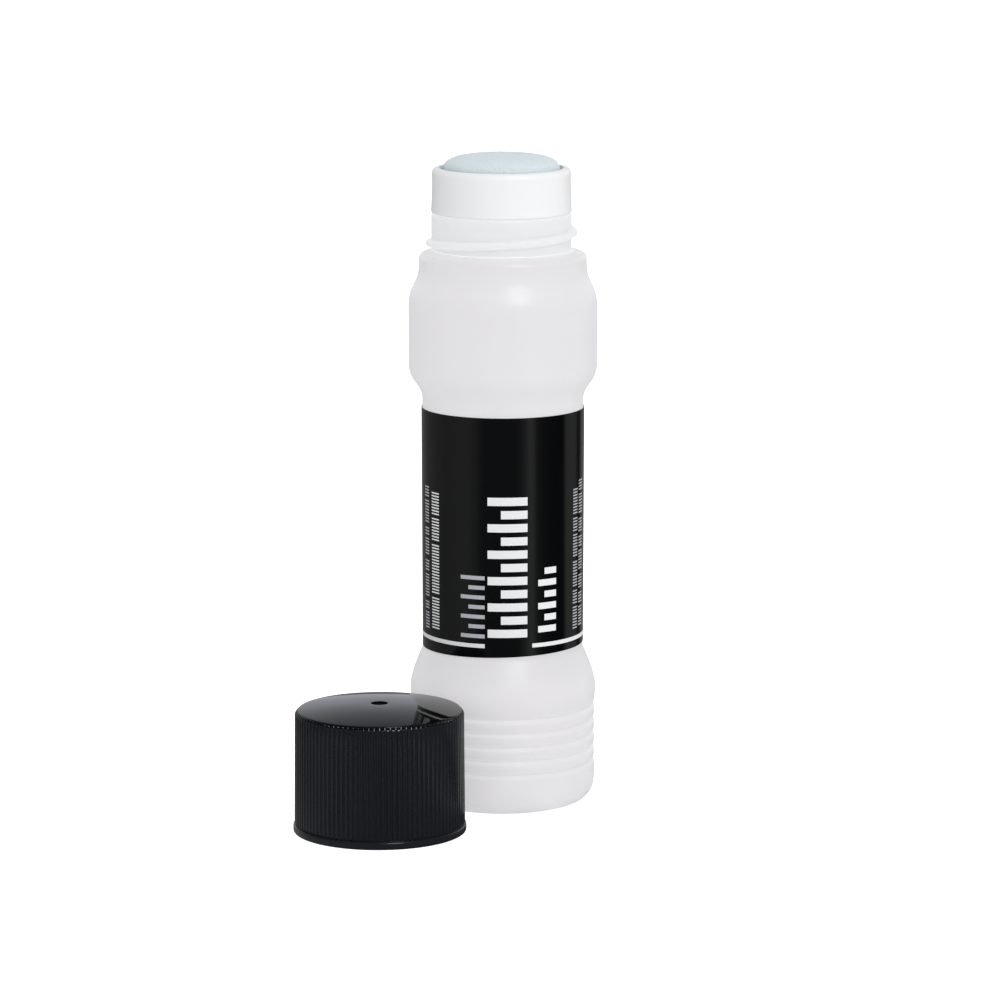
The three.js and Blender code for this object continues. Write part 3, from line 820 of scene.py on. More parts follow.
class Finishes:
    """Every finish of the object."""

    # Painted light: the glow is an emission standing in for light through the milky wall, mirrored dims it in
    # reflections, the lighter upper colour is painted light on the neck, and the shadow is painted shade below the
    # label
    BOTTLE = MouldedPlastic(
        "bottle_milky_plastic", Slot.MILKY_PLASTIC, "9b9b9d", "99989a", roughness=0.37, scatter=0.6, scatter_mm=5.0,
        glow=1.34, mirrored=0.72, upper_colour="a0a1a2", upper_roughness=0.42, upper_from_mm=115.9,
        shadow=0.085, shadow_mm=(25.0, 32.5, 60.0),
    )  # fmt: skip
    HEAD = MouldedPlastic(
        "head_white_plastic", Slot.WHITE_PLASTIC, "f4f5f6", "eff1f3", roughness=0.38, specular=0.45, scatter=0.25
    )
    LABEL = MouldedPlastic(
        "label_black_film", Slot.BLACK_FILM, "07080a", "060708", roughness=0.1, variation=0.03, grain_mm=3.0,
        bump_mm=0.001,
    )  # fmt: skip
    WHITE_INK = MouldedPlastic("label_white_ink", Slot.BLACK_FILM, "f0f1f2", "e9eaec", roughness=0.5, specular=0.3)
    GREY_INK = MouldedPlastic("label_grey_ink", Slot.BLACK_FILM, "b9bdc4", "b1b5bc", roughness=0.5, specular=0.3)
    # Painted sheen: the ribbed sides get a lighter colour than the black top, standing in for the light the ribs catch
    CAP = MouldedPlastic(
        "cap_black_plastic", Slot.BLACK_PLASTIC, "1d1f25", "1a1c21", roughness=0.2, variation=0.03, grain_mm=1.5,
        bump_mm=0.0005, upper_colour="08090b", upper_roughness=0.05, upper_from_mm=24.6,
    )  # fmt: skip
    FABRIC = PorousPad(
        "tip_felted_fabric", Slot.TIP_FABRIC, "e8f3f8", "d2e1e8", pore_mm=0.45, openness=0.35, depth_mm=0.12
    )
    FOAM = PorousPad("tip_open_foam", Slot.TIP_FOAM, "eef1f1", "cfd8da", pore_mm=0.7, openness=0.55, depth_mm=0.2)
    LINER = PorousPad(
        "liner_closed_foam", Slot.LINER_FOAM, "f2f2f0", "e6e6e3", pore_mm=0.25, openness=0.2, depth_mm=0.02, sheen=0.05
    )
    STEEL = PolishedSteel("ball_steel", Slot.STEEL, "d4d6d8", "b4b6ba")


# Sub-assemblies


def put(name: str, data: bpy.types.ID) -> bpy.types.Object:
    """Puts a mesh, lamp or camera into the scene.

    Args:
        name: The object's name.
        data: What it holds.

    Returns:
        The object, at the origin.
    """
    made = bpy.data.objects.new(name, data)
    bpy.context.scene.collection.objects.link(made)
    return made


def add_piece(
    name: str, surface: Surface, finish: Finish, body: Body, *nodes: str, sharp_deg: float = SHARP_DEG
) -> bpy.types.Object:
    """Makes a surface into a piece of the object.

    Args:
        name: The piece's name.
        surface: Its shape.
        finish: Its finish, whose material the piece gets; its slot is not read.
        body: The body that it rides on.
        nodes: The CAD nodes that it stands for.
        sharp_deg: Edges that turn by more than this stay sharp.

    Returns:
        The piece.
    """
    piece = put(name, surface.mesh(name, sharp_deg))
    piece.data.materials.append(finish.material())
    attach(piece, body.value)
    if nodes:
        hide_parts(*nodes)
    faces = 2 * len(surface.quads) + len(surface.triangles)
    log.info("%s rides on %s, %d triangles", name, body.value, faces)
    return piece


@dataclass
class Bottle:
    """The squeeze bottle: a foot, ring grooves, a pinched waist, a wide upper body and a threaded neck."""

    wall: float = 1.0
    foot_radius: float = 19.2
    foot_round: float = 5.4
    foot_height: float = 9.1
    standing_ring: float = 2.4
    ring_round: float = 0.4
    panel_run: float = 1.8
    panel_rise: float = 1.0
    panel_round: float = 0.5
    groove_count: int = 5
    groove_pitch: float = 2.93
    groove_depth: float = 0.6
    ridge_fall: float = 1.1
    ridge_rise: float = 0.5
    ridge_radius: float = 19.15
    lower_bulge_radius: float = 19.38
    lower_bulge_rise: float = 3.6
    lower_flare: float = 8.6
    lower_fullness: float = 2.5
    waist_radius: float = 16.72
    waist_length: float = 51.6
    waist_taper: float = 0.15
    upper_flare: float = 7.8
    upper_bulge_radius: float = 19.55
    upper_bulge_length: float = 12.0
    shoulder_taper: float = 9.0
    shoulder_radius: float = 17.35
    shoulder_band: float = 1.9
    shoulder_round: float = 1.1
    shoulder_rise: float = 0.7
    root_round: float = 0.25
    neck_radius: float = 14.5
    neck_wall: float = 1.5
    neck_lip: float = 0.6
    neck_rise: float = 0.6
    neck_aside: float = 0.3
    neck_aside_run: float = 1.0
    bore_round: float = 0.3
    bore_foot_round: float = 0.5
    thread_start: float = 0.8
    seam_height: float = 0.05
    seam_width: float = 0.18
    seam_start: float = 0.5
    seam_deg: float = 352.0
    columns: int = 224

    def __post_init__(self) -> None:
        """Works out the heights that follow from the lengths."""
        self.top_groove = self.foot_height + (self.groove_count - 1) * self.groove_pitch
        self.lower_bulge = self.top_groove + self.lower_bulge_rise
        self.waist_bottom = self.lower_bulge + self.lower_flare
        self.waist_top = self.waist_bottom + self.waist_length
        self.upper_bulge = self.waist_top + self.upper_flare
        self.taper_start = self.upper_bulge + self.upper_bulge_length
        self.shoulder = self.taper_start + self.shoulder_taper
        self.ledge = self.shoulder + self.shoulder_band
        self.neck_root = self.ledge + self.shoulder_rise
        self.neck_top = box_mm("bottle_body")[1][2] + self.neck_rise
        start = self.neck_root + self.thread_start
        self.thread = ScrewRidge(width=2.1, turns=0.9, first_height=start, start_deg=130.0)
        self.axis = axis_of("bottle_body")

    def _side_up(self, path: Profile) -> None:
        """Walks the outside from the foot's rounding to the neck's root.

        Args:
            path: The outline so far.
        """
        groove = self.ridge_radius - self.groove_depth
        path.to(self.foot_radius, self.foot_height - self.ridge_fall)
        for count in range(self.groove_count):
            height = self.foot_height + count * self.groove_pitch
            path.ease(groove, height, rows=10)
            path.ease(self.ridge_radius, height + self.ridge_rise, rows=6)
            if count < self.groove_count - 1:
                path.to(self.ridge_radius, height + self.groove_pitch - self.ridge_fall)
        bulge = self.lower_bulge_radius
        path.curve((bulge, self.top_groove + self.groove_pitch / 2), (bulge, self.lower_bulge))
        waist_foot = self.waist_radius - self.waist_taper
        path.curve((bulge, self.lower_bulge + self.lower_fullness), (waist_foot, self.waist_bottom), rows=20)
        path.to(self.waist_radius, self.waist_top, rows=4)
        path.ease(self.upper_bulge_radius, self.upper_bulge)
        path.to(self.upper_bulge_radius, self.taper_start, rows=4)
        path.ease(self.shoulder_radius, self.shoulder)
        path.to(self.shoulder_radius, self.ledge, self.shoulder_round)
        path.to(self.neck_radius, self.neck_root, self.root_round)

    def _side_down(self, path: Profile) -> None:
        """Walks the inside from the neck's root to the foot, one wall in from the outside.

        Args:
            path: The outline so far.
        """
        inset = self.wall
        path.to(self.shoulder_radius - inset, self.ledge - inset, self.shoulder_round)
        path.to(self.shoulder_radius - inset, self.shoulder)
        path.ease(self.upper_bulge_radius - inset, self.taper_start, rows=12)
        path.to(self.upper_bulge_radius - inset, self.upper_bulge)
        path.ease(self.waist_radius - inset, self.waist_top, rows=12)
        path.to(self.waist_radius - inset, self.waist_bottom)
        bulge = self.lower_bulge_radius - inset
        path.curve((bulge, self.lower_bulge + self.lower_fullness), (bulge, self.lower_bulge))
        groove = self.ridge_radius - self.groove_depth - inset
        over = self.ridge_radius + self.groove_depth - inset
        path.curve((bulge, self.top_groove + self.groove_pitch / 2), (groove, self.top_groove), rows=6)
        for count in range(self.groove_count - 2, -1, -1):
            height = self.foot_height + count * self.groove_pitch
            path.curve((over, height + self.groove_pitch / 2), (groove, height), rows=6)
        path.to(self.foot_radius - inset, self.foot_height - self.groove_pitch / 2)
        path.to(self.foot_radius - inset, self.foot_round)

    def outline(self) -> np.ndarray:
        """Walks out along the base, up the outside, over the lip and down the inside.

        Returns:
            The outline, from the axis to the axis.
        """
        ring_outer = self.foot_radius - self.foot_round
        ring_inner = ring_outer - self.standing_ring
        panel_radius = ring_inner - self.panel_run
        path = Profile(0.0, self.panel_rise)
        path.to(panel_radius, self.panel_rise, self.panel_round)
        path.to(ring_inner, 0.0, self.ring_round).to(ring_outer, 0.0)
        path.curve((self.foot_radius, 0.0), (self.foot_radius, self.foot_round), rows=14)
        self._side_up(path)
        path.to(self.neck_radius, self.neck_top - 2 * self.neck_lip, rows=64)
        path.to(self.neck_radius, self.neck_top, self.neck_lip)
        bore = self.neck_radius - self.neck_wall
        path.to(bore, self.neck_top, self.bore_round)
        path.to(bore, self.neck_root - self.wall, self.bore_foot_round)
        self._side_down(path)
        path.curve((self.foot_radius - self.wall, self.wall), (ring_outer, self.wall))
        path.to(ring_inner, self.wall, self.ring_round)
        path.to(panel_radius, self.panel_rise + self.wall, self.ring_round)
        path.to(0.0, self.panel_rise + self.wall)
        return path.points()

    def _relief(self, angle: np.ndarray, height: np.ndarray, radius: np.ndarray) -> np.ndarray:
        """Adds the neck's thread and the mould's two parting lines to the outside.

        A parting line is a ridge that falls off with the distance d from it, as h exp(-(d / width)^2).

        Args:
            angle: Angles about the axis, in radians.
            height: The outline's heights.
            radius: The outline's distances from the axis.

        Returns:
            What is added to the radius.
        """
        on_neck = np.abs(radius - self.neck_radius) < ON_WALL
        outside = radius > self.neck_radius - self.neck_lip / 2
        from_seam = np.mod(angle - math.radians(self.seam_deg) + np.pi / 2, np.pi) - np.pi / 2
        fall = np.exp(-((from_seam * radius / self.seam_width) ** 2))
        seam = self.seam_height * fall * outside * (height > self.seam_start)
        return on_neck * self.thread.height(angle, height) + seam

    def build(self) -> None:
        """Makes the bottle, with the neck aside to the left as in the photograph, by a smooth step from the ledge."""
        surface = Surface.lathe(self.outline(), self.axis, self.columns, self._relief)
        upright = (self.neck_root + self.neck_aside_run) * MM
        surface.points[:, 0] -= self.neck_aside * MM * smooth_step(self.ledge * MM, upright, surface.points[:, 2])
        add_piece("bottle_moulding", surface, Finishes.BOTTLE, Body.BOTTLE, "bottle_body")


@dataclass(frozen=True)
class Panel:
    """A panel of equal level strokes, of which every second one starts a third of the way along.

    Angles go from the front to the right. Its cover is the share of each stroke's room that is printed.
    """

    turn: Pair
    rise: Pair
    strokes: int
    cover: float

    def bars(self) -> list[tuple[Pair, Pair]]:
        """Stacks the strokes.

        Returns:
            Each stroke's angles and heights.
        """
        pitch = (self.rise[1] - self.rise[0]) / self.strokes
        third = (self.turn[1] - self.turn[0]) / 3
        bars = []
        for number in range(self.strokes):
            start, low = self.turn[0] + (number % 2) * third, self.rise[0] + number * pitch
            bars.append(((start, self.turn[1]), (low, low + self.cover * pitch)))
        return bars


@dataclass(frozen=True)
class FineColumn:
    """A column of blocks of fine level strokes. The blocks' heights are used over and over."""

    turn: Pair
    rise: Pair
    blocks: tuple[float, ...]
    pitch: float = 0.62
    stroke: float = 0.28

    def bars(self) -> list[tuple[Pair, Pair]]:
        """Stacks the blocks, one above the other, until the height is full.

        Returns:
            Each stroke's angles and heights.
        """
        bars, low, number = [], self.rise[0], 0
        while (top := low + self.blocks[number % len(self.blocks)]) <= self.rise[1]:
            lows = np.arange(low, top - self.stroke, self.pitch)
            bars += [(self.turn, (height, height + self.stroke)) for height in lows]
            low, number = top + self.pitch, number + 1
        return bars


@dataclass
class Label:
    """The black film round the waist, with its lapped seam at the back and its printed strokes.

    The lap's start and fade are radians.
    """

    thickness: float = 0.15
    taper: float = 0.15
    edge_round: float = 0.05
    lap: float = 0.1
    lap_deg: Pair = (84.0, 97.0)
    lap_start: float = 0.01
    lap_fade: float = 0.12
    ink_height: float = 0.02
    ink_gap: float = 0.005
    foot_band: float = 0.5
    foot_drop: float = 0.3
    foot_skew: float = 0.45
    stripe_rise: Pair = (35.46, 36.3)
    stripe_turn: Pair = (21.1, 347.1)
    white: tuple[Panel | FineColumn, ...] = (
        Panel((-10.8, 17.4), (37.7, 68.05), strokes=11, cover=0.62),
        Panel((25.6, 40.6), (38.5, 53.1), strokes=6, cover=0.55),
        FineColumn((-60.5, -51.5), (38.2, 67.5), blocks=(6.8, 10.5, 4.8, 5.2)),
    )
    grey: tuple[Panel | FineColumn, ...] = (
        Panel((-31.0, -12.9), (37.5, 51.75), strokes=7, cover=0.4),
        FineColumn((59.5, 66.0), (37.9, 68.6), blocks=(4.7, 3.0, 5.7)),
        FineColumn((-72.0, -65.0), (37.8, 68.9), blocks=(3.5, 2.0, 4.8, 2.75)),
        FineColumn((68.5, 76.0), (38.2, 69.6), blocks=(4.2, 2.5, 3.3)),
    )
    columns: int = 360

    def __post_init__(self) -> None:
        """Takes the label's place from the frame."""
        low, high = box_mm("label_sleeve")
        self.axis = axis_of("label_sleeve")
        self.outer = (high[0] - low[0]) / 2
        self.inner = self.outer - self.thickness
        self.bottom, self.top = low[2], high[2]

    def _tapered(self, surface: Surface) -> Surface:
        """Draws a surface in towards the axis, by the taper at the label's foot and by nothing at its top.

        Args:
            surface: The film or its print.

        Returns:
            The same surface.
        """
        out = surface.points[:, :2] - self.axis
        share = (self.top - surface.points[:, 2:] / MM) / (self.top - self.bottom)
        surface.points[:, :2] -= out * self.taper * MM * share / np.linalg.norm(out, axis=1, keepdims=True)
        return surface

    def _lapped(self, angle: np.ndarray, height: np.ndarray, radius: np.ndarray) -> np.ndarray:
        """Lifts the outer face over the lap, with a sharp start and a slow return: 0 elsewhere.

        Args:
            angle: Angles about the axis, in radians.
            height: The outline's heights.
            radius: The outline's distances from the axis.

        Returns:
            What is added to the radius.
        """
        start, end = (math.radians(value) for value in self.lap_deg)
        fall = 1.0 - smooth_step(end - self.lap_fade, end, angle)
        rise = fall * smooth_step(start, start + self.lap_start, angle)
        return self.lap * rise * (radius > self.inner + self.thickness / 2)

    def _skew(self, film: Surface) -> None:
        """Cuts the film's foot askew: lower by drop - skew sin(a) at the angle a to the right of the front.

        Args:
            film: The film before its taper.
        """
        x, y, z = film.points.T
        turn = np.arctan2(x - self.axis[0], self.axis[1] - y)
        at_foot = z < (self.bottom + self.foot_band) * MM
        film.points[:, 2] = z - at_foot * (self.foot_drop - self.foot_skew * np.sin(turn)) * MM

    def _print(self, name: str, bars: list[tuple[Pair, Pair]], ink: Finish) -> None:
        """Prints bars on the film as one piece.

        Args:
            name: The piece's name.
            bars: Each bar's angles and heights.
            ink: Its finish.
        """
        radius = self.outer + self.ink_gap
        shapes = [Surface.curved_bar(self.axis, radius, self.ink_height, turn, rise) for turn, rise in bars]
        add_piece(name, self._tapered(Surface.joined(shapes)), ink, Body.BOTTLE)

    def build(self) -> None:
        """Makes the film and its print."""
        path = Profile(self.inner, self.bottom).to(self.outer, self.bottom, self.edge_round)
        path.to(self.outer, self.top, self.edge_round).to(self.inner, self.top)
        film = Surface.lathe(path.points(), self.axis, self.columns, self._lapped, closed=True)
        self._skew(film)
        add_piece("label_film", self._tapered(film), Finishes.LABEL, Body.BOTTLE, "label_sleeve")
        white = [(self.stripe_turn, self.stripe_rise)] + [bar for panel in self.white for bar in panel.bars()]
        self._print("label_white_print", white, Finishes.WHITE_INK)
        self._print("label_grey_print", [bar for panel in self.grey for bar in panel.bars()], Finishes.GREY_INK)


@dataclass
class Head:
    """The plug-in head: collar and plug, the plate and ring inside it, and the round tip."""

    collar_height: float = 9.2
    foot_radius: float = 14.55
    middle_radius: float = 14.25
    top_radius: float = 14.35
    collar_round: float = 1.3
    collar_foot_round: float = 0.35
    floor: float = 1.5
    floor_round: float = 0.1
    mouth_radius: float = 12.8
    mouth_round: float = 0.12
    plug_radius: float = 12.5
    plug_bore: float = 11.0
    plug_round: float = 0.2
    bead_count: int = 2
    bead: float = 0.15
    bead_pitch: float = 3.2
    bead_width: float = 1.6
    aside: float = 0.3
    dome_sink: float = 0.9
    dome_inset: float = 0.35
    dome_pull: float = 0.7
    dome_fullness: float = 10.8
    dome_lead: float = 0.01
    dome_rows: int = 28
    fabric: float = 0.8
    fabric_drop: float = 0.1
    hem_round: float = 0.3
    hem_inner_round: float = 0.2
    foam_gap: float = 0.15
    foam_drop: float = 0.2
    foam_round: float = 0.4
    nap_height: float = 0.03
    nap_from: Pair = (2.0, 8.0)
    columns: int = 192

    def __post_init__(self) -> None:
        """Takes the head's place from the frame."""
        low, high = box_mm("head_collar")
        middle = axis_of("head_collar")
        self.axis = (middle[0] - self.aside * MM, middle[1])
        self.plug_foot, self.rim = low[2], high[2]
        self.seat = self.rim - self.collar_height
        low, high = box_mm("tip_fabric_cover")
        self.hem, self.crest, self.tip_radius = low[2], high[2], (high[0] - low[0]) / 2
        low, high = box_mm("tip_foam_core")
        self.foam_foot, self.foam_crest, self.foam_radius = low[2], high[2], (high[0] - low[0]) / 2

    def _collar(self) -> np.ndarray:
        """Walks round the section of plug, shelf and collar.

        Returns:
            The closed outline.
        """
        plug, half = self.plug_radius, self.bead_width / 2
        path = Profile(self.plug_bore, self.plug_foot).to(plug - self.bead, self.plug_foot, self.plug_round)
        for count in range(self.bead_count):
            middle = self.plug_foot + (count + 0.5) * self.bead_pitch
            path.to(plug, middle - half).curve((plug + 2 * self.bead, middle), (plug, middle + half), rows=8)
        path.to(plug, self.seat).to(self.foot_radius, self.seat, self.collar_foot_round)
        middle, shoulder = self.seat + self.collar_height / 2, self.rim - self.collar_round
        path.curve((self.middle_radius, middle), (self.top_radius, shoulder), rows=16)
        path.curve((self.top_radius, self.rim), (self.top_radius - self.collar_round, self.rim))
        path.to(self.mouth_radius, self.rim, self.mouth_round).to(self.mouth_radius, self.seat + self.floor)
        return path.to(self.plug_bore, self.seat + self.floor, self.floor_round).points()

    def _dome(self, radius: float, foot: float, crest: float) -> list[Pair]:
        """Shapes a dome's outline from its side to the axis as a cubic.

        The first control stands straight above the side, at the dome's pull of the rise, and the second
        is level with the crest, at the dome's fullness.

        Args:
            radius: The side's distance from the axis.
            foot: The side's height.
            crest: The height on the axis.

        Returns:
            The cubic's four points.
        """
        full = self.dome_fullness * radius / self.tip_radius
        return [(radius, foot), (radius, foot + self.dome_pull * (crest - foot)), (full, crest), (0.0, crest)]

    def _cover(self) -> np.ndarray:
        """Walks out under the fabric, down to the hem and back over the dome.

        Returns:
            The outline, from the axis to the axis.
        """
        radius, foot = self.tip_radius - self.dome_inset, self.rim - self.dome_sink
        inner, under = radius - self.fabric, self.crest - self.fabric
        inside, outside = self._dome(inner, foot - self.fabric_drop, under), self._dome(radius, foot, self.crest)
        path = Profile(0.0, under).curve(*inside[-2::-1], rows=self.dome_rows)
        path.to(inner, self.hem, self.hem_inner_round).to(self.tip_radius, self.hem, self.hem_round)
        path.to(self.tip_radius, foot - self.dome_sink, self.hem_round).to(radius, foot - self.dome_lead)
        return path.to(*outside[0]).curve(*outside[1:], rows=self.dome_rows).points()

    def _core(self) -> np.ndarray:
        """Walks round the foam, from the axis at its foot to the axis at its crest.

        Its dome starts lower than the fabric's inside, so that the pressed foam doesn't come through it.

        Returns:
            The outline.
        """
        radius = min(self.foam_radius, self.tip_radius - self.dome_inset - self.fabric - self.foam_gap)
        dome = self._dome(radius, self.rim - 2 * self.dome_sink - self.foam_drop, self.foam_crest)
        path = Profile(0.0, self.foam_foot).to(radius, self.foam_foot, self.foam_round)
        path.to(radius, dome[0][1] - self.dome_lead, rows=4).to(*dome[0])
        return path.curve(*dome[1:], rows=self.dome_rows).points()

    def _nap(self, angle: np.ndarray, height: np.ndarray, radius: np.ndarray) -> np.ndarray:
        """Makes the cut of the fabric uneven by three slow waves round the tip, a few hundredths high."""
        waves = np.sin(3 * angle + 0.7) + 0.6 * np.sin(7 * angle + 2.1 * height) + 0.5 * np.sin(11 * angle - height)
        return self.nap_height * waves * smooth_step(*self.nap_from, radius)

    def build(self) -> None:
        """Makes the head and the tip, and dresses the plate and the ring that stay as they are."""
        collar = Surface.lathe(self._collar(), self.axis, self.columns, closed=True)
        add_piece("head_moulding", collar, Finishes.HEAD, Body.HEAD, "head_collar")
        for node in ("flow_plate", "tip_clamp_ring"):
            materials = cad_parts[node].data.materials
            materials.clear()
            materials.append(Finishes.HEAD.material())
        cover = Surface.lathe(self._cover(), self.axis, self.columns, self._nap)
        tip = add_piece("tip_fabric", cover, Finishes.FABRIC, Body.TIP, "tip_fabric_cover")
        core = Surface.lathe(self._core(), self.axis, self.columns)
        pad = add_piece("tip_foam", core, Finishes.FOAM, Body.HEAD, "tip_foam_core")
        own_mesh(pad)


@dataclass
class MixingBalls:
    """The steel balls on the bottle's floor."""

    columns: int = 48

    def build(self) -> None:
        """Makes each ball by carrying a half circle round its upright axis."""
        for number, body in enumerate((Body.BALL_1, Body.BALL_2), start=1):
            node = f"mixing_ball_{number}"
            low, high = box_mm(node)
            radius, middle = (high[2] - low[2]) / 2, (high[2] + low[2]) / 2
            turn = np.linspace(-np.pi / 2, np.pi / 2, self.columns // 2 + 1)
            outline = np.stack([radius * np.cos(turn), middle + radius * np.sin(turn)], axis=1)
            ball = Surface.lathe(outline, axis_of(node), self.columns)
            add_piece(f"steel_ball_{number}", ball, Finishes.STEEL, body, node)


@dataclass
class ScrewCap:
    """The screw cap: fine ribs over a smooth band, a rounded edge, a gate mark, a thread and a sealing skirt."""

    bore: float = 15.95
    bore_round: float = 0.5
    mouth_chamfer: float = 0.3
    thread_top: float = 9.5
    thread_foot: float = 0.5
    wall: float = 1.2
    draft: float = 0.17
    rib_count: int = 100
    rib_height: float = 0.3
    rib_start: float = 0.4
    rib_flanks: Pair = (-0.8, 0.3)
    rib_samples: int = 6
    band_height: float = 1.6
    band_round: float = 0.45
    rib_top: float = 24.4
    rim_height: float = 25.2
    rim_radius: float = 16.7
    rim_round: float = 0.3
    edge_round: float = 0.1
    crown_step: float = 0.1
    gate_flat: float = 0.2
    gate_radius: float = 1.75
    gate_floor_share: float = 0.9
    gate_depth: float = 0.9
    gate_round: float = 0.08
    top_wall: float = 1.9
    skirt_radius: float = 13.9
    skirt_wall: float = 1.0
    skirt_foot: float = 17.1
    skirt_round: float = 0.3
    skirt_inner_round: float = 0.2
    disc_round: float = 0.35
    disc_columns: int = 128
    sharp_deg: float = 28.0

    def __post_init__(self) -> None:
        """Takes the cap's place from the frame."""
        low, high = box_mm("cap_shell")
        self.axis = axis_of("cap_shell")
        self.mouth_radius, self.crest = (high[0] - low[0]) / 2, high[2]
        self.ceiling = self.rim_height - self.top_wall
        self.root = self.bore + self.wall
        self.thread = ScrewRidge(width=2.0, turns=1.0, first_height=1.8, start_deg=4.0)

    def _inside(self, path: Profile) -> None:
        """Walks the ceiling, the sealing skirt and the threaded bore down to the mouth.

        Args:
            path: The outline so far.
        """
        inner = self.skirt_radius - self.skirt_wall
        path.curve((inner / 2, self.crest - self.top_wall), (inner, self.ceiling), rows=8)
        path.to(inner, self.skirt_foot, self.skirt_inner_round)
        path.to(self.skirt_radius, self.skirt_foot, self.skirt_round)
        path.to(self.skirt_radius, self.ceiling, self.skirt_round)
        path.to(self.bore, self.ceiling, self.bore_round)
        path.to(self.bore, self.thread_top).to(self.bore, self.thread_foot, rows=44)
        path.to(self.bore + self.mouth_chamfer, 0.0, self.edge_round)

    def _outside(self, path: Profile) -> None:
        """Walks the band, the ribbed wall, the ribs' sloped ends, the domed top and the gate mark.

        Args:
            path: The outline so far.
        """
        path.to(self.mouth_radius, 0.0, self.band_round)
        path.to(self.mouth_radius, self.band_height, self.band_round)
        path.to(self.root, self.band_height, self.edge_round)
        path.to(self.root, self.band_height + self.rib_start, rows=3)
        path.to(self.root - self.draft, self.rib_top, rows=6)
        path.to(self.rim_radius, self.rim_height - self.rim_round / 2, rows=7)
        path.to(self.rim_radius, self.rim_height, self.rim_round / 2)
        inside = self.rim_radius - 2 * self.rim_round
        path.to(inside, self.rim_height + self.crown_step)
        path.curve((inside / 2, self.crest), (self.gate_radius + self.gate_flat, self.crest), rows=20)
        path.to(self.gate_radius, self.crest, self.gate_round)
        path.to(self.gate_floor_share * self.gate_radius, self.crest - self.gate_depth, self.edge_round)
        path.to(0.0, self.crest - self.gate_depth)

    def _relief(self, angle: np.ndarray, height: np.ndarray, radius: np.ndarray) -> np.ndarray:
        """Adds the ribs outside and the thread inside.

        Round the cap a rib is a smooth step of cos(count times angle), so that ribs are wide and the
        grooves between them narrow. Up the cap it starts above the band, and above the ribs' top it
        falls back to the rim as a quarter of an ellipse.

        Args:
            angle: Angles about the axis, in radians.
            height: The outline's heights.
            radius: The outline's distances from the axis.

        Returns:
            What is added to the radius.
        """
        rim = self.rim_height - self.rim_round / 2
        tooth = smooth_step(*self.rib_flanks, np.cos(self.rib_count * angle))
        start = smooth_step(self.band_height, self.band_height + self.rib_start, height)
        end = np.sqrt(1.0 - np.clip((height - self.rib_top) / (rim - self.rib_top), 0.0, 1.0) ** 2)
        on_ribs = (radius > self.bore + self.wall / 2) & (height > self.band_height) & (height <= rim)
        in_bore = np.abs(radius - self.bore) < ON_WALL
        return on_ribs * self.rib_height * tooth * start * end - in_bore * self.thread.height(angle, height)

    def build(self) -> None:
        """Makes the cap and the disc in it."""
        path = Profile(0.0, self.crest - self.top_wall)
        self._inside(path)
        self._outside(path)
        columns = self.rib_count * self.rib_samples
        shell = Surface.lathe(path.points(), self.axis, columns, self._relief)
        add_piece("cap_moulding", shell, Finishes.CAP, Body.CAP, "cap_shell", sharp_deg=self.sharp_deg)
        low, high = box_mm("cap_liner")
        radius = (high[0] - low[0]) / 2
        disc = Profile(0.0, low[2]).to(radius, low[2], self.disc_round)
        disc.to(radius, high[2], self.disc_round).to(0.0, high[2])
        liner = Surface.lathe(disc.points(), self.axis, self.disc_columns)
        add_piece("cap_sealing_disc", liner, Finishes.LINER, Body.LINER, "cap_liner")


# Studio


@dataclass(frozen=True)
class Softbox:
    """A square lamp that faces the middle of the object.

    Its turn goes from the camera's side to the right, and its tilt is its height above the table. Its
    distance and its side are metres. Glossy surfaces see only a mirrored lamp.
    """

    name: str
    turn: float
    tilt: float
    distance: float
    side: float
    watts: float
    mirrored: bool = False
    aim_height: float = 70.0

    def hang(self) -> None:
        """Hangs the lamp."""
        data = bpy.data.lights.new(self.name, "AREA")
        data.shape = "SQUARE"
        data.size = self.side
        data.energy = self.watts
        lamp = put(self.name, data)
        lamp.visible_glossy = self.mirrored
        turn, tilt = math.radians(self.turn), math.radians(self.tilt)
        way = Vector((math.sin(turn) * math.cos(tilt), -math.cos(turn) * math.cos(tilt), math.sin(tilt)))
        lamp.location = Vector((0.0, 0.0, self.aim_height * MM)) + way * self.distance
        lamp.rotation_mode = "QUATERNION"
        lamp.rotation_quaternion = way.to_track_quat("Z", "Y")


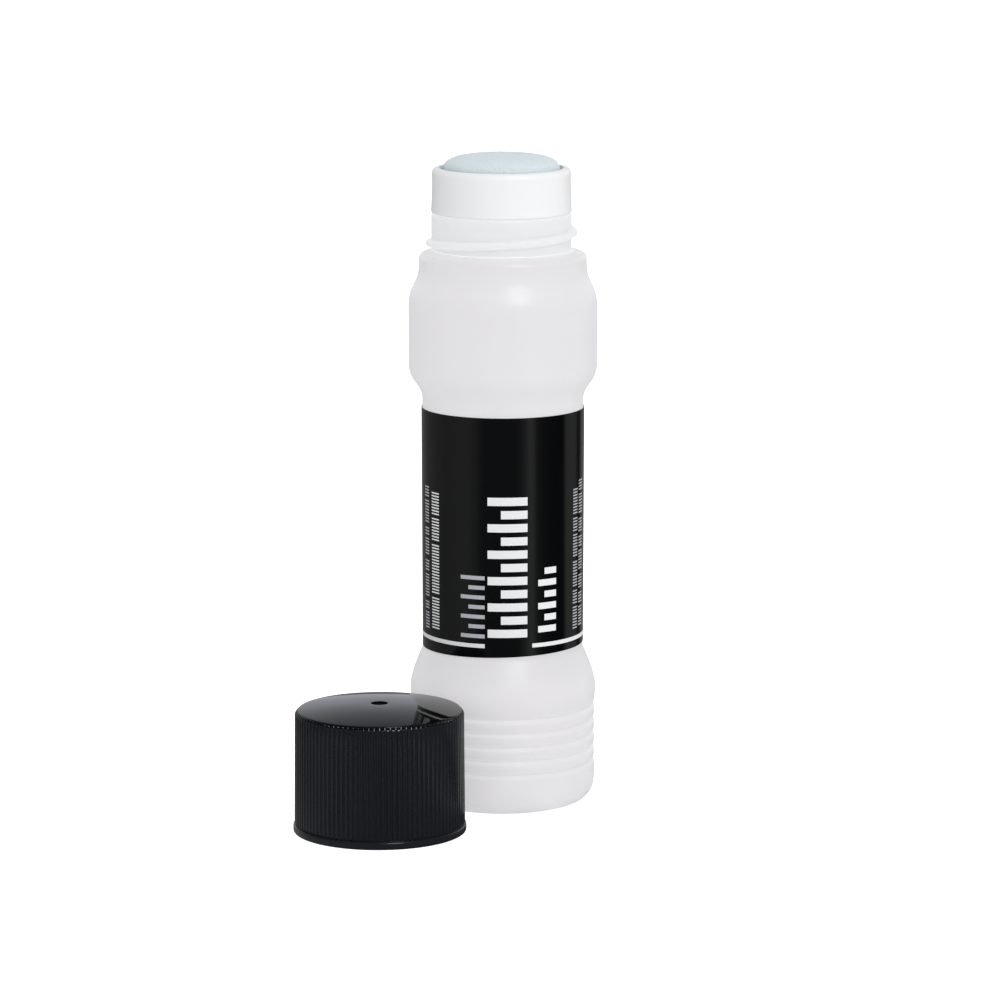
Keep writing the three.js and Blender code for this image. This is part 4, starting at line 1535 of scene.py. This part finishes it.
@dataclass
class Studio:
    """The white table, the soft lamps and the camera. The table's half and the camera's reach are metres."""

    bottle_axis: Pair
    photo_px: float = 1000.0
    focal_px: float = 4944.7
    bottle_axis_px: float = 502.92
    camera_distance: float = 1013.26
    camera_height: float = 245.14
    camera_pitch: float = 10.161
    camera_reach: float = 100.0
    sensor_mm: float = 36.0
    table_half: float = 9.0
    world_light: float = 0.7
    room_least: float = 0.06
    room_behind: Pair = (0.2, 0.85)
    room_rise: Pair = (0.2, 0.55)
    room_levels: Pair = (0.62, 0.12)
    room_tint: Colour = (0.88, 0.91, 1.0, 1.0)
    lamps: tuple[Softbox, ...] = (
        Softbox("key_softbox", turn=23.0, tilt=38.0, distance=1.3, side=0.42, watts=4.6, mirrored=True),
        Softbox("side_softbox", turn=65.0, tilt=25.0, distance=1.5, side=1.0, watts=1.6),
        Softbox("back_softbox", turn=175.0, tilt=50.0, distance=1.4, side=1.0, watts=2.2),
    )

    def camera(self) -> None:
        """Stands the camera in front of the bottle.

        The lens is the focal length in pixels over the photograph's width, times the sensor's. The
        bottle's axis lies a little right of the middle, so the camera stands that much to its left.
        """
        lens = bpy.data.cameras.new("photo_camera")
        lens.sensor_width = self.sensor_mm
        lens.lens = self.focal_px / self.photo_px * self.sensor_mm
        lens.clip_end = self.camera_reach
        camera = put("photo_camera", lens)
        aside = (self.bottle_axis_px - self.photo_px / 2) / self.focal_px * self.camera_distance * MM
        x, y = self.bottle_axis
        camera.location = (x - aside, y - self.camera_distance * MM, self.camera_height * MM)
        camera.rotation_euler = (math.radians(90.0 - self.camera_pitch), 0.0, 0.0)
        bpy.context.scene.camera = camera

    def world(self) -> None:
        """Lights the scene evenly, and shows white behind the object.

        The camera sees white. Glossy surfaces see a dim bluish room that is lighter low down at the
        back, and everything else is lit by the plain world light.
        """
        world = bpy.data.worlds.new("studio")
        world.use_nodes = True
        world.node_tree.nodes.clear()
        bpy.context.scene.world = world
        wiring = Wiring(world.node_tree)
        way = wiring.parts(wiring.node("ShaderNodeTexCoord").outputs["Generated"])
        behind = wiring.ramp(way["Y"], *self.room_behind)
        level = wiring.ramp(way["Z"], *self.room_rise, self.room_levels)
        room = wiring.maths("ADD", wiring.maths("MULTIPLY", behind, level), self.room_least)
        glossy, through = wiring.light_path("Is Glossy Ray"), wiring.light_path("Is Transmission Ray")
        polished = wiring.maths("MAXIMUM", glossy, through)
        plain = wiring.maths("MULTIPLY", wiring.maths("SUBTRACT", 1.0, polished), self.world_light)
        seen = wiring.maths("ADD", plain, wiring.maths("MULTIPLY", polished, room))
        strength = wiring.maths("MAXIMUM", seen, wiring.light_path("Is Camera Ray"))
        tint = wiring.between(WHITE, self.room_tint, polished)
        light = wiring.node("ShaderNodeBackground", {"Color": tint, "Strength": strength})
        wiring.node("ShaderNodeOutputWorld", {"Surface": light.outputs[0]})
        world.cycles.sampling_method = "NONE"

    def table(self) -> None:
        """Lays the table, a level square."""
        corners = np.array([[-1, -1, 0], [1, -1, 0], [1, 1, 0], [-1, 1, 0]], float) * self.table_half
        table = put("table", Surface(corners, np.array([[0, 1, 2, 3]])).mesh("table"))
        finish = TableTop("table_white", None, "f8f8f8", "f4f4f4", bottle_axis=self.bottle_axis)
        table.data.materials.append(finish.material())

    def build(self) -> None:
        """Sets the stage."""
        bpy.context.scene.view_settings.view_transform = "Standard"
        self.camera()
        for lamp in self.lamps:
            lamp.hang()
        self.world()
        self.table()
        log.info("studio ready")


def main() -> None:
    """Builds the studio and the marker, in the order in which it stands."""
    logging.basicConfig(level=logging.INFO, format="%(message)s")
    bottle = Bottle()
    Studio(bottle.axis).build()
    for assembly in (bottle, Label(), MixingBalls(), Head(), ScrewCap()):
        assembly.build()


if __name__ == "__main__":
    main()
